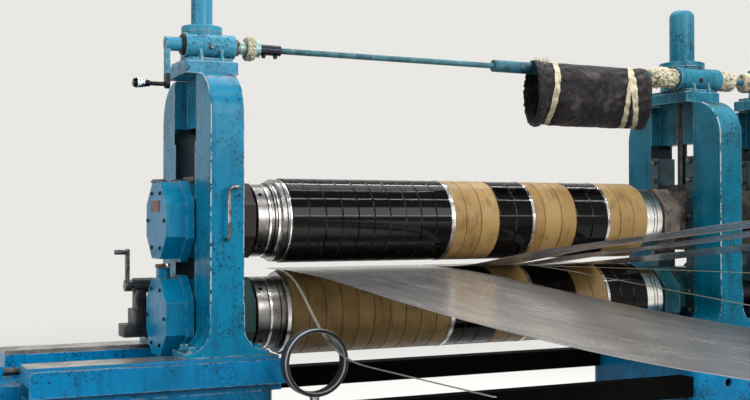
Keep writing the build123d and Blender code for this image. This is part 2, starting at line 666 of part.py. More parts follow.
# A limp cover tube hung over the drive tube
with BuildPart() as shaft_sleeve:
    sleeve_z = WORM_Z + TUBE_D / 2 + RUN_GAP - (SLEEVE_R - SLEEVE_T)
    cut_y = SLEEVE_R + 10.0
    cut_x = cut_y * tan(radians(SLEEVE_SKEW))
    sleeve_bore = 2 * (SLEEVE_R - SLEEVE_T)
    add(x_cylinder(SLEEVE_START - cut_x, SLEEVE_END + cut_x, 2 * SLEEVE_R, WORM_Y, sleeve_z, sleeve_bore))
    with BuildSketch(Plane.XY.offset(sleeve_z - SLEEVE_R - 1)):
        with BuildLine():
            Polyline(
                (SLEEVE_START - cut_x, WORM_Y - cut_y),
                (SLEEVE_END - cut_x, WORM_Y - cut_y),
                (SLEEVE_END + cut_x, WORM_Y + cut_y),
                (SLEEVE_START + cut_x, WORM_Y + cut_y),
                close=True,
            )
        make_face()
    extrude(amount=2 * SLEEVE_R + 2, mode=Mode.INTERSECT)

# Pull handle on the outboard housing's front, its upper end set to one side
with BuildPart() as pull_handle:
    handle_y = -ARCH_HALF - 34
    with BuildLine() as grip_path:
        FilletPolyline(
            (OUT_X + 90, -ARCH_HALF, BED_Z + 554),
            (OUT_X + 90, handle_y, BED_Z + 554),
            (OUT_X + 53, handle_y, BED_Z + 554),
            (OUT_X + 53, handle_y, BED_Z + 384),
            (OUT_X + 53, -ARCH_HALF, BED_Z + 384),
            radius=14,
        )
    with BuildSketch(Plane(origin=(OUT_X + 90, -ARCH_HALF, BED_Z + 554), z_dir=(0, -1, 0))):
        Circle(6)
    sweep(path=grip_path.wires()[0])

# Traverse gearbox and crank on the outboard housing's far leg
BOX_Y = 215.0
BOX_Z = BED_Z + 28.0
TRAVERSE_Z = BED_Z + 210.0
with BuildPart() as traverse_gearbox:
    with BuildSketch(Plane.XY.offset(BOX_Z)):
        with Locations((OUT_X - 128, BOX_Y)):
            RectangleRounded(88, 100, 10)
    extrude(amount=44)
    with BuildSketch(Plane.XY.offset(BOX_Z)):
        with Locations((OUT_X - 111, BOX_Y)):
            RectangleRounded(54, 100, 10)
    extrude(amount=98)
    with BuildSketch(Plane.XY.offset(BOX_Z + 97)):
        with Locations((OUT_X - 106, BOX_Y)):
            RectangleRounded(40, 62, 8)
    extrude(amount=70)
    add(x_cylinder(OUT_X - 130, OUT_X, 54, BOX_Y, TRAVERSE_Z))
    add(x_cylinder(OUT_X - 131, OUT_X - 30, 20.6, BOX_Y, TRAVERSE_Z), mode=Mode.SUBTRACT)
    with BuildSketch(Plane.XY.offset(BOX_Z + 80)):
        with Locations((OUT_X - 43, BOX_Y)):
            Rectangle(86, 30)
    extrude(amount=30)

with BuildPart() as traverse_crank:
    add(x_cylinder(OUT_X - 152, OUT_X - 40, 20, BOX_Y, TRAVERSE_Z))
    add(x_cylinder(OUT_X - 160, OUT_X - 136, 42, BOX_Y, TRAVERSE_Z))
    with BuildSketch(Plane.YZ.offset(OUT_X - 156)):
        with Locations((BOX_Y, TRAVERSE_Z + 60)):
            SlotCenterToCenter(120, 24, rotation=90)
    extrude(amount=12)
    add(x_cylinder(OUT_X - 196, OUT_X - 150, 18, BOX_Y, TRAVERSE_Z + 120))

# Outboard bed: two plates with lips under the ways, joined by a trough
with BuildPart() as outboard_bed:
    with BuildSketch(Plane.YZ.offset(BED_LEFT)):
        for side in (-1, 1):
            with Locations((side * (BED_HALF + WAY_LOW - 6) / 2, BED_Z - WAY_T - BED_PLATE / 2)):
                Rectangle(BED_HALF - WAY_LOW + 6, BED_PLATE)
            with Locations((side * (BED_HALF - BED_LIP_T / 2), BED_Z - BED_LIP / 2 - 3)):
                Rectangle(BED_LIP_T, BED_LIP - 6)
            with Locations((side * (WAY_LOW + 4), BED_Z - WAY_T - (BASE_TOP - WAY_T) / 2)):
                Rectangle(20, BASE_TOP - WAY_T)
        with Locations((0, BED_Z - (BASE_TOP + TROUGH_Z) / 2)):
            Rectangle(2 * BASE_HALF, BASE_TOP - TROUGH_Z)
    extrude(amount=BED_RIGHT - BED_LEFT)

with BuildPart() as bed_ways:
    with BuildSketch(Plane.YZ.offset(BED_LEFT)):
        for side in (-1, 1):
            with Locations((side * (WAY_LOW + WAY_HIGH) / 2, BED_Z - WAY_T / 2)):
                Rectangle(WAY_HIGH - WAY_LOW, WAY_T)
    extrude(amount=BED_RIGHT - BED_LEFT)

with BuildPart() as traverse_screw:
    add(x_cylinder(BASE_LEFT + 20, BED_RIGHT - 30, TRAVERSE_SCREW_D, 0, TRAVERSE_SCREW_Z))


def base_box(x_from, x_to, top, half):
    """A plate base with rounded corners, open underneath, standing on a sole with anchor holes."""
    length = x_to - x_from
    middle = (x_from + x_to) / 2
    with BuildPart() as box:
        with BuildSketch():
            with Locations((middle, 0)):
                RectangleRounded(length, 2 * half, BASE_CORNER_R)
        extrude(amount=top)
        with BuildSketch():
            with Locations((middle, 0)):
                RectangleRounded(length + 2 * SOLE_OUT, 2 * (half + SOLE_OUT), BASE_CORNER_R)
        extrude(amount=SOLE_T)
        with BuildSketch():
            with Locations((middle, 0)):
                RectangleRounded(length - 2 * BASE_WALL, 2 * (half - BASE_WALL), BASE_CORNER_R - BASE_WALL)
        extrude(amount=top - BASE_WALL, mode=Mode.SUBTRACT)
        with BuildSketch():
            with Locations((middle, 0)):
                anchor_in = SOLE_OUT - ANCHOR_IN
                with GridLocations(length + 2 * anchor_in, 2 * (half + anchor_in), 2, 2):
                    Circle(ANCHOR_D / 2)
        extrude(amount=SOLE_T, mode=Mode.SUBTRACT)
    return box.part


with BuildPart() as outboard_base:
    add(base_box(BASE_LEFT + SOLE_OUT, BED_RIGHT - 14, BED_Z - BASE_TOP, BASE_HALF))
    with BuildSketch(Plane.XY.offset(BED_Z - BASE_TOP)):
        with Locations(((BASE_LEFT + SOLE_OUT + BED_LEFT) / 2, 0)):
            Rectangle(BED_LEFT - BASE_LEFT - SOLE_OUT - 4, PEDESTAL_W)
    extrude(amount=BASE_TOP - PEDESTAL_DROP)
    with BuildSketch(Plane.XY.offset(BED_Z - PEDESTAL_DROP)):
        with Locations((BASE_LEFT + SOLE_OUT + 30, 0)):
            Rectangle(34, 90)
    extrude(amount=44)
    add(x_cylinder(BASE_LEFT, BED_LEFT, TRAVERSE_SCREW_D + 0.6, 0, TRAVERSE_SCREW_Z), mode=Mode.SUBTRACT)

with BuildPart() as inboard_base:
    add(base_box(INNER_BED_LEFT + 14, BASE_RIGHT - SOLE_OUT, BED_Z - BASE_TOP, BASE_HALF))
    with BuildSketch(Plane.XZ.offset(BASE_HALF + 1)):
        with Locations((IN_X - 3, BED_Z - 212)):
            Circle(18)
    extrude(amount=-(BASE_WALL + 4), mode=Mode.SUBTRACT)

with BuildPart() as inboard_bed:
    with BuildSketch(Plane.YZ.offset(INNER_BED_LEFT)):
        for side in (-1, 1):
            with Locations((side * (BED_HALF + WAY_LOW - 6) / 2, BED_Z - 30)):
                Rectangle(BED_HALF - WAY_LOW + 6, 60)
            for web_y in (WAY_LOW + 4, BASE_HALF - 12):
                with Locations((side * web_y, BED_Z - BASE_TOP / 2)):
                    Rectangle(20, BASE_TOP)
    extrude(amount=BASE_RIGHT - SOLE_OUT - 14 - INNER_BED_LEFT)

with BuildPart() as tie_rails:
    rail_from, rail_to = BED_RIGHT - 14, INNER_BED_LEFT + 14
    rail_in = BASE_HALF - RAIL_W / 2
    for rail_y, top in ((-rail_in, FRONT_RAIL_TOP), (rail_in, REAR_RAIL_TOP)):
        with BuildSketch(Plane.YZ.offset(rail_from)):
            with Locations((rail_y, BED_Z - top - RAIL_W / 2)):
                RectangleRounded(RAIL_W, RAIL_W, 6)
                Rectangle(RAIL_W - 2 * RAIL_WALL, RAIL_W - 2 * RAIL_WALL, mode=Mode.SUBTRACT)
        extrude(amount=rail_to - rail_from)

# Guide ring for the edge trim, cut from 8 inch pipe, on a post from the front tie rail
RING_X, RING_Y, RING_Z = OUT_X + 294.0, -470.0, BED_Z - 10.0
PIPE_D, PIPE_WALL, HOOP_LEN = 219.0, 14.0, 40.0
ARM_Z = BED_Z - FRONT_RAIL_TOP - 66
with BuildPart() as scrap_guide_ring:
    with BuildSketch(Plane.XZ.offset(-RING_Y - HOOP_LEN / 2)):
        with Locations((RING_X, RING_Z)):
            Circle(PIPE_D / 2)
    extrude(amount=HOOP_LEN)
    with BuildSketch(Plane.XY.offset(ARM_Z)):
        with Locations((RING_X, RING_Y)):
            Circle(12)
    extrude(amount=RING_Z - PIPE_D / 2 + 6 - ARM_Z)
    with BuildSketch(Plane.XZ.offset(-RING_Y - HOOP_LEN / 2)):
        with Locations((RING_X, RING_Z)):
            Circle(PIPE_D / 2 - PIPE_WALL)
    extrude(amount=HOOP_LEN, mode=Mode.SUBTRACT)
    with BuildSketch(Plane.XY.offset(ARM_Z)):
        with Locations((RING_X, (RING_Y - 25 - BASE_HALF) / 2)):
            Rectangle(50, -BASE_HALF - RING_Y + 25)
    extrude(amount=14)

# Strip through the nip: the wide strip droops to its loop, the narrow ones rise, and the trims run off
SLACK = 3.0                          # strip edge to the knife beside it
TRIM_W = 10.0                        # width of the trim cut off beside the first ring
NEAR_TRIM_X = TOOL_START - 4.0
with BuildPart() as wide_strip:
    droop = [(-300, BED_Z + 260), (-700, BED_Z + 234), (-1250, BED_Z + 196), (-1700, BED_Z + 175),
             (-2050, BED_Z + 167), (-2400, BED_Z + 171)]
    add(strip(NEAR_TRIM_X + TRIM_W + 2, KNIFE_1 - SLACK, droop))

with BuildPart() as narrow_strips:
    split_x = STRIP_2[TAN_COUNT]
    near_rise = [(-600, BED_Z + 331), (-1200, BED_Z + 398), (-1750, BED_Z + 458)]
    far_rise = [(-600, BED_Z + 322), (-1100, BED_Z + 374), (-1560, BED_Z + 432)]
    last_rise = [(-516, BED_Z + 298), (-858, BED_Z + 334), (-1300, BED_Z + 380)]
    add(strip(STRIP_2[0] + SLACK, split_x - 2, near_rise))
    add(strip(split_x + 2, KNIFE_2 - SLACK, far_rise))
    add(strip(STRIP_3[0] + SLACK + 2 * TRIM_W + 8, KNIFE_3 - SLACK, last_rise))

with BuildPart() as edge_trims:
    near_trim = [(-200, BED_Z + 215), (-408, BED_Z + 78), (-563, BED_Z + 22), (-832, BED_Z + 8),
                 (-1171, BED_Z + 14), (-1480, BED_Z + 20)]
    add(strip(NEAR_TRIM_X, NEAR_TRIM_X + TRIM_W, near_trim))
    far_trim = STRIP_3[0] + SLACK
    add(strip(far_trim, far_trim + TRIM_W, [(-600, BED_Z + 277), (-1330, BED_Z + 290)]))
    add(strip(far_trim + TRIM_W + 4, far_trim + 2 * TRIM_W + 4, [(-500, BED_Z + 244), (-1330, BED_Z + 186)]))

# Label each piece and write it
os.makedirs("parts", exist_ok=True)
outboard_base.part.label = "outboard_base"
export_step(outboard_base.part, "parts/outboard_base.step")
outboard_bed.part.label = "outboard_bed"
export_step(outboard_bed.part, "parts/outboard_bed.step")
bed_ways.part.label = "bed_ways"
export_step(bed_ways.part, "parts/bed_ways.step")
traverse_screw.part.label = "traverse_screw"
export_step(traverse_screw.part, "parts/traverse_screw.step")
inboard_base.part.label = "inboard_base"
export_step(inboard_base.part, "parts/inboard_base.step")
inboard_bed.part.label = "inboard_bed"
export_step(inboard_bed.part, "parts/inboard_bed.step")
tie_rails.part.label = "tie_rails"
export_step(tie_rails.part, "parts/tie_rails.step")
inboard_housing.part.label = "inboard_housing"
export_step(inboard_housing.part, "parts/inboard_housing.step")
drive_housing.part.label = "drive_housing"
export_step(drive_housing.part, "parts/drive_housing.step")
inboard_caps.part.label = "inboard_caps"
export_step(inboard_caps.part, "parts/inboard_caps.step")
inboard_jacks.part.label = "inboard_jacks"
export_step(inboard_jacks.part, "parts/inboard_jacks.step")
inboard_screw_covers.part.label = "inboard_screw_covers"
export_step(inboard_screw_covers.part, "parts/inboard_screw_covers.step")
inboard_liners.part.label = "inboard_liners"
export_step(inboard_liners.part, "parts/inboard_liners.step")
inboard_lower_chocks.part.label = "inboard_lower_chocks"
export_step(inboard_lower_chocks.part, "parts/inboard_lower_chocks.step")
shaft_sleeve.part.label = "shaft_sleeve"
export_step(shaft_sleeve.part, "parts/shaft_sleeve.step")
scrap_guide_ring.part.label = "scrap_guide_ring"
export_step(scrap_guide_ring.part, "parts/scrap_guide_ring.step")
wide_strip.part.label = "wide_strip"
export_step(wide_strip.part, "parts/wide_strip.step")
narrow_strips.part.label = "narrow_strips"
export_step(narrow_strips.part, "parts/narrow_strips.step")
edge_trims.part.label = "edge_trims"
export_step(edge_trims.part, "parts/edge_trims.step")
outboard_housing.part.label = "outboard_housing"
export_step(outboard_housing.part, "parts/outboard_housing.step")
outboard_cap.part.label = "outboard_cap"
export_step(outboard_cap.part, "parts/outboard_cap.step")
outboard_jack.part.label = "outboard_jack"
export_step(outboard_jack.part, "parts/outboard_jack.step")
outboard_screw_cover.part.label = "outboard_screw_cover"
export_step(outboard_screw_cover.part, "parts/outboard_screw_cover.step")
outboard_liners.part.label = "outboard_liners"
export_step(outboard_liners.part, "parts/outboard_liners.step")
outboard_lower_chock.part.label = "outboard_lower_chock"
export_step(outboard_lower_chock.part, "parts/outboard_lower_chock.step")
pull_handle.part.label = "pull_handle"
export_step(pull_handle.part, "parts/pull_handle.step")
traverse_gearbox.part.label = "traverse_gearbox"
export_step(traverse_gearbox.part, "parts/traverse_gearbox.step")
outboard_upper_chock.part.label = "outboard_upper_chock"
export_step(outboard_upper_chock.part, "parts/outboard_upper_chock.step")
outboard_screw.part.label = "outboard_screw"
export_step(outboard_screw.part, "parts/outboard_screw.step")
inboard_upper_chocks.part.label = "inboard_upper_chocks"
export_step(inboard_upper_chocks.part, "parts/inboard_upper_chocks.step")
inboard_screws.part.label = "inboard_screws"
export_step(inboard_screws.part, "parts/inboard_screws.step")
upper_shaft.part.label = "upper_shaft"
export_step(upper_shaft.part, "parts/upper_shaft.step")
upper_nut.part.label = "upper_nut"
export_step(upper_nut.part, "parts/upper_nut.step")
upper_black_rings.part.label = "upper_black_rings"
export_step(upper_black_rings.part, "parts/upper_black_rings.step")
upper_tan_rings.part.label = "upper_tan_rings"
export_step(upper_tan_rings.part, "parts/upper_tan_rings.step")
upper_knives.part.label = "upper_knives"
export_step(upper_knives.part, "parts/upper_knives.step")
lower_shaft.part.label = "lower_shaft"
export_step(lower_shaft.part, "parts/lower_shaft.step")
lower_nut.part.label = "lower_nut"
export_step(lower_nut.part, "parts/lower_nut.step")
lower_black_rings.part.label = "lower_black_rings"
export_step(lower_black_rings.part, "parts/lower_black_rings.step")
lower_tan_rings.part.label = "lower_tan_rings"
export_step(lower_tan_rings.part, "parts/lower_tan_rings.step")
lower_knives.part.label = "lower_knives"
export_step(lower_knives.part, "parts/lower_knives.step")
crank_arm.part.label = "crank_arm"
export_step(crank_arm.part, "parts/crank_arm.step")
crank_grip.part.label = "crank_grip"
export_step(crank_grip.part, "parts/crank_grip.step")
cross_rod.part.label = "cross_rod"
export_step(cross_rod.part, "parts/cross_rod.step")
jaw_coupling.part.label = "jaw_coupling"
export_step(jaw_coupling.part, "parts/jaw_coupling.step")
drive_tube.part.label = "drive_tube"
export_step(drive_tube.part, "parts/drive_tube.step")
taped_couplings.part.label = "taped_couplings"
export_step(taped_couplings.part, "parts/taped_couplings.step")
traverse_crank.part.label = "traverse_crank"
export_step(traverse_crank.part, "parts/traverse_crank.step")
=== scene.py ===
# %% [markdown]
# # Dressing a coil slitter
#
# A coil slitter cuts a wide band of sheet steel into narrow ones. Two arbors carry rings and round knives,
# and three cast arch housings hold the arbors over two beds. The shapes come from a CAD model that is
# already packed, so this notebook gives them their looks: worn enamel, polished steel, black and tan
# rings, a limp cloth sleeve, and all the small fasteners that a machine shop bolts on.
#
# Each step first says what the real piece is, then how Blender can make it, and why this way was chosen.

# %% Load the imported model
import math
import random

import bmesh
import bpy
from mathutils import Euler, Matrix, Vector, noise


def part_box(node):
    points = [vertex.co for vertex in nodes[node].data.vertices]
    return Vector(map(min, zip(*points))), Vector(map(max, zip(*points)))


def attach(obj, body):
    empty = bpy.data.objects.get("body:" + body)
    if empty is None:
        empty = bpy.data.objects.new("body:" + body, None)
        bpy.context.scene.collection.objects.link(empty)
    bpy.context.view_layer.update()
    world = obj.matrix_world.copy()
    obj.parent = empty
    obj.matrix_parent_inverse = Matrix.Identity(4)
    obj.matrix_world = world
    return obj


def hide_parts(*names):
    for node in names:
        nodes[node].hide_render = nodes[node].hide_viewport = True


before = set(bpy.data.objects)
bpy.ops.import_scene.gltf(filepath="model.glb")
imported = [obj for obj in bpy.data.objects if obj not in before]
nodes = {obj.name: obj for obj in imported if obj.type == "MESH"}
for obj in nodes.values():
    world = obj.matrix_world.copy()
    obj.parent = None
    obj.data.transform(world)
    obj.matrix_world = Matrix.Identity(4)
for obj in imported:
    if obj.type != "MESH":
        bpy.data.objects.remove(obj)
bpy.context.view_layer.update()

# %% [markdown]
# ## Measures
#
# The scene repeats a few stations of the machine, in metres, so that each dressed piece sits on the solid
# that carries it. They are read from the CAD boxes where a box has them, which keeps the two in step.

# %% Stations
OUT_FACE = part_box("outboard_liners")[0].x          # outer face of the outboard housing
HOUSING_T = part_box("outboard_liners")[1].x - OUT_FACE
SPAN, DRIVE_SPAN = 2.160, 0.510                    # from each housing's near face to the next one's
IN_FACE = OUT_FACE + SPAN
DRIVE_FACE = IN_FACE + DRIVE_SPAN
WAY_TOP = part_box("bed_ways")[1].z
LOWER_UP, ARBORS_APART = 0.114, 0.330
LOWER_Z = WAY_TOP + LOWER_UP
UPPER_Z = LOWER_Z + ARBORS_APART
CAP_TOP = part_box("outboard_cap")[1].z
WORM_Y = -0.074                                    # the cross shaft runs beside the lift screws
WORM_Z = CAP_TOP + 0.058
WINDOW_HALF = 0.135                                # a housing's window, where its chocks slide
WINDOW_TOP = WAY_TOP + 0.771
print("housing faces", round(OUT_FACE, 3), round(IN_FACE, 3), round(DRIVE_FACE, 3))

# %% [markdown]
# ## Camera
#
# The camera stands low, by the strip's exit, and looks along the arbors from the operator's end. A 53.5 mm
# lens on a 36 mm sensor gives the same fall-off in size from the near housing to the far one.

# %% Camera
CAMERA_AT = (-2.2007, -3.7887, 1.1548)
CAMERA_TILT, CAMERA_TURN = 90.9, -25.67            # degrees up from straight down, and round from +Y
camera_data = bpy.data.cameras.new("shop_camera")
camera_data.lens = 53.5
camera_data.sensor_width = 36.0
camera = bpy.data.objects.new("shop_camera", camera_data)
camera.location = CAMERA_AT
camera.rotation_euler = Euler((math.radians(CAMERA_TILT), 0.0, math.radians(CAMERA_TURN)))
bpy.context.scene.collection.objects.link(camera)
bpy.context.scene.camera = camera
print("camera", camera_data.lens, "mm at", CAMERA_AT)

# %% [markdown]
# ## Two helpers
#
# Colours are picked as sRGB hex values, as a paint card gives them, but Blender works in linear light, so
# one function turns them. A node tree could be drawn by hand in the editor. In a script each node takes
# several lines, so another function adds a node with its settings, values and links in one call.

# %% Colours and nodes
def srgb(code):
    """A colour written as sRGB hex, as the linear values that Blender works in."""
    values = [int(code[i:i + 2], 16) / 255 for i in (1, 3, 5)]
    linear = [v / 12.92 if v <= 0.04045 else ((v + 0.055) / 1.055) ** 2.4 for v in values]
    return (*linear, 1.0)


def add_node(tree, kind, values=None, links=None, **settings):
    """Adds one node: its settings, the values of its sockets, and what is linked into them."""
    node = tree.nodes.new(kind)
    for name, value in settings.items():
        setattr(node, name, value)
    for key, value in (values or {}).items():
        node.inputs[key].default_value = value
    for key, source in (links or {}).items():
        tree.links.new(source, node.inputs[key])
    return node


# %% [markdown]
# ## World
#
# A colour should render about as it is written, so the world gives an even base of light, a little
# brighter overhead. An image of a real hall would do this too, but a ramp over the height needs no file.
# The camera, and the mirrors in the metal, see a second and paler ramp, which is the backdrop.

# %% World
world = bpy.data.worlds.new("soft_room")
bpy.context.scene.world = world
world.use_nodes = True
sky = world.node_tree
sky.nodes.clear()
direction = add_node(sky, "ShaderNodeTexCoord").outputs["Generated"]
height = add_node(sky, "ShaderNodeSeparateXYZ", links={"Vector": direction}).outputs["Z"]


def by_height(stops):
    """A ramp of colours over the height in the sky, from (height, colour) stops."""
    ramp = add_node(sky, "ShaderNodeValToRGB", links={"Fac": height})
    colours = ramp.color_ramp.elements
    colours[0].position, colours[0].color = stops[0][0], srgb(stops[0][1])
    colours[1].position, colours[1].color = stops[-1][0], srgb(stops[-1][1])
    for position, code in stops[1:-1]:
        colours.new(position).color = srgb(code)
    return ramp.outputs["Color"]


room = by_height([(0.0, "#8f8f8d"), (0.22, "#a9aaaa"), (0.75, "#d6d8da")])
backdrop = by_height([(0.3, "#e9e8e4"), (0.8, "#9fa1a3")])
ray = add_node(sky, "ShaderNodeLightPath")
mirrored = add_node(sky, "ShaderNodeMath", operation="MAXIMUM",
                    links={0: ray.outputs["Is Glossy Ray"], 1: ray.outputs["Is Transmission Ray"]})
looked_at = add_node(sky, "ShaderNodeMath", operation="MAXIMUM",
                     links={0: ray.outputs["Is Camera Ray"], 1: mirrored.outputs[0]})
seen = add_node(sky, "ShaderNodeMix", links={0: looked_at.outputs[0], 6: room, 7: backdrop}, data_type="RGBA")
room_light = add_node(sky, "ShaderNodeBackground", {"Strength": 1.0}, {"Color": seen.outputs[2]})
add_node(sky, "ShaderNodeOutputWorld", links={"Surface": room_light.outputs["Background"]})
bpy.context.scene.view_settings.view_transform = "Standard"
print("world", len(sky.nodes), "nodes")

# %% [markdown]
# ## Lamps
#
# Three large soft lamps add shape, the strongest of them from the strip's side. Polished rings also need
# something to mirror. Workshops have rows of tube lamps, so four long slim lamps hang along the arbors,
# and each one draws a thin bright line on a glossy ring. Their light is counted in the whole, so the large
# lamps are that much weaker. Area lamps are chosen because their size sets how soft a shadow is.

# %% Lamps
def soft_lamp(name, place, target, width, depth, watts):
    """A rectangular lamp at a place, turned towards a target."""
    data = bpy.data.lights.new(name, "AREA")
    data.shape = "RECTANGLE"
    data.size, data.size_y = width, depth
    data.energy = watts
    lamp = bpy.data.objects.new(name, data)
    lamp.location = place
    aim = Vector(target) - Vector(place)
    lamp.rotation_euler = aim.to_track_quat("-Z", "Y").to_euler()
    bpy.context.scene.collection.objects.link(lamp)


soft_lamp("window", (1.6, -7.5, 4.2), (0.0, 0.0, 1.1), 5.5, 3.6, 360)
soft_lamp("roof", (0.2, 1.4, 6.0), (0.0, 0.0, 0.9), 5.0, 3.0, 120)
soft_lamp("door", (-6.5, -2.4, 2.2), (-0.8, 0.0, 1.2), 2.6, 2.2, 110)
# Each tube lamp's angle above the horizon, seen from the upper arbor on the strip's side, its distance
# from there, and its watts
TUBE_LAMPS = ((118, 4.0, 50), (91, 4.0, 52), (61, 4.0, 58), (13, 4.6, 30))
TUBE_X, TUBE_LONG, TUBE_WIDE = 1.3, 5.2, 0.05
for number, (rise, reach, watts) in enumerate(TUBE_LAMPS):
    y = -math.cos(math.radians(rise)) * reach
    z = UPPER_Z + math.sin(math.radians(rise)) * reach
    soft_lamp(f"tube_{number}", (TUBE_X, y, z), (TUBE_X, 0.0, UPPER_Z), TUBE_LONG, TUBE_WIDE, watts)

# %% [markdown]
# ## Floor
#
# A plain pale floor catches the shadow under the bases. It belongs to the stage and not to the machine.
# The camera and the mirrors in the metal see it pale. Light that bounces off it comes from a darker shop
# floor, so the undersides stay dark, and far from the machine the floor fades into the backdrop.

# %% Floor
bpy.ops.mesh.primitive_plane_add(size=120, location=(0, 0, 0))
floor = bpy.context.object
floor.name = "floor"
floor_paint = bpy.data.materials.new("pale_floor")
floor_paint.use_nodes = True
shade = floor_paint.node_tree
floor_shader = shade.nodes["Principled BSDF"]
floor_shader.inputs["Roughness"].default_value = 0.75
where = add_node(shade, "ShaderNodeTexCoord").outputs["Object"]
cloud = add_node(shade, "ShaderNodeTexNoise", {"Scale": 0.6, "Detail": 3.0}, {"Vector": where})
tone = add_node(shade, "ShaderNodeMix", {6: srgb("#f0efeb"), 7: srgb("#e8e7e2")},
                {0: cloud.outputs["Fac"]}, data_type="RGBA")
floor_ray = add_node(shade, "ShaderNodeLightPath")
bounce = add_node(shade, "ShaderNodeMix", {7: srgb("#55534f")},
                  {0: floor_ray.outputs["Is Diffuse Ray"], 6: tone.outputs[2]}, data_type="RGBA")
shade.links.new(bounce.outputs[2], floor_shader.inputs["Base Color"])
reach_out = add_node(shade, "ShaderNodeVectorMath", links={0: where}, operation="LENGTH")
far_off = add_node(shade, "ShaderNodeMapRange", {"From Min": 3.2, "From Max": 9.0},
                   {"Value": reach_out.outputs["Value"]}, interpolation_type="SMOOTHSTEP")
not_bounced = add_node(shade, "ShaderNodeMath", {0: 1.0}, {1: floor_ray.outputs["Is Diffuse Ray"]},
                       operation="SUBTRACT")
fade = add_node(shade, "ShaderNodeMath", links={0: far_off.outputs["Result"], 1: not_bounced.outputs[0]},
                operation="MULTIPLY")
haze = add_node(shade, "ShaderNodeEmission", {"Color": srgb("#e9e8e4")})
floor_mix = add_node(shade, "ShaderNodeMixShader",
                     links={0: fade.outputs[0], 1: floor_shader.outputs["BSDF"], 2: haze.outputs["Emission"]})
shade.links.new(floor_mix.outputs["Shader"], shade.nodes["Material Output"].inputs["Surface"])
floor.data.materials.append(floor_paint)
print("floor", len(shade.nodes), "nodes")

# %% [markdown]
# ## How the finishes are built
#
# Every finish starts from what the real one is, then gets layers, as paint does on a machine: the body
# colour, slow changes of tone, grime, chips, and wear along the edges. A painted texture could hold them,
# but it would need a file and a UV map. Here each layer is a mask, from 0 to 1, and mixes one colour over
# the last. All patterns use Object coordinates, which are metres on this model, so a noise of scale 30
# has features of about 1000 / 30 = 33 mm.

# %% Layers
def new_finish(name, roughness, metallic=0.0):
    """A material with its shader, and the object coordinates that its patterns follow."""
    finish = bpy.data.materials.new(name)
    finish.use_nodes = True
    tree = finish.node_tree
    shader = tree.nodes["Principled BSDF"]
    shader.inputs["Roughness"].default_value = roughness
    shader.inputs["Metallic"].default_value = metallic
    place = add_node(tree, "ShaderNodeTexCoord").outputs["Object"]
    return finish, tree, shader, place


def reopen(finish):
    """The tree, shader and object coordinates of a finish that gets one more layer."""
    tree = finish.node_tree
    return tree, tree.nodes["Principled BSDF"], tree.nodes["Texture Coordinate"].outputs["Object"]


def grain(tree, place, size_mm, stretch=(1, 1, 1), detail=3.0):
    """A noise whose features are size_mm across, stretched along the axes."""
    scale = tuple(1000.0 / size_mm / s for s in stretch)
    turned = add_node(tree, "ShaderNodeMapping", {"Scale": scale}, {"Vector": place})
    pattern = add_node(tree, "ShaderNodeTexNoise", {"Scale": 1.0, "Detail": detail, "Roughness": 0.55},
                       {"Vector": turned.outputs["Vector"]})
    return pattern.outputs["Fac"]


def mask(tree, value, low, high, top=1.0):
    """A mask that is 0 at low and top at high."""
    limits = add_node(tree, "ShaderNodeMapRange", {"From Min": low, "From Max": high, "To Max": top},
                      {"Value": value}, interpolation_type="SMOOTHSTEP")
    return limits.outputs["Result"]


def join(tree, a, b, how="MULTIPLY"):
    """Two masks together."""
    return add_node(tree, "ShaderNodeMath", links={0: a, 1: b}, operation=how).outputs["Value"]


def rest_of(tree, value):
    """What a mask leaves: one minus it."""
    return add_node(tree, "ShaderNodeMath", {0: 1.0}, {1: value}, operation="SUBTRACT").outputs["Value"]


def station(tree, axis):
    """Where the surface lies along an axis of the object, in metres."""
    point = add_node(tree, "ShaderNodeTexCoord").outputs["Object"]
    return add_node(tree, "ShaderNodeSeparateXYZ", links={"Vector": point}).outputs[axis]


def facing(tree, axis):
    """How much the surface faces along an axis, from -1 to 1."""
    normal = add_node(tree, "ShaderNodeNewGeometry").outputs["Normal"]
    return add_node(tree, "ShaderNodeSeparateXYZ", links={"Vector": normal}).outputs[axis]


def over(tree, under, colour, cover):
    """A colour laid over another where the mask covers it."""
    mix = add_node(tree, "ShaderNodeMix", {7: srgb(colour)}, {0: cover}, data_type="RGBA")
    if isinstance(under, str):
        mix.inputs[6].default_value = srgb(under)
    else:
        tree.links.new(under, mix.inputs[6])
    return mix.outputs[2]


def paint_over(tree, shader, colour, cover):
    """Lays a colour over what the finish already shows."""
    under = shader.inputs["Base Color"].links[0].from_socket
    tree.links.new(over(tree, under, colour, cover), shader.inputs["Base Color"])


def vary_roughness(tree, shader, low, high, value):
    """A roughness that goes from low to high as a pattern goes from 0 to 1."""
    rough = add_node(tree, "ShaderNodeMapRange", {"To Min": low, "To Max": high}, {"Value": value})
    tree.links.new(rough.outputs["Result"], shader.inputs["Roughness"])
    return rough.outputs["Result"]


def bump(tree, shader, height, depth_mm, strength=1.0, under=None):
    """A bump from a height, over another bump if one is given."""
    bumped = add_node(tree, "ShaderNodeBump", {"Strength": strength, "Distance": depth_mm / 1000},
                      {"Height": height})
    if under is not None:
        tree.links.new(under, bumped.inputs["Normal"])
    tree.links.new(bumped.outputs["Normal"], shader.inputs["Normal"])
    return bumped.outputs["Normal"]
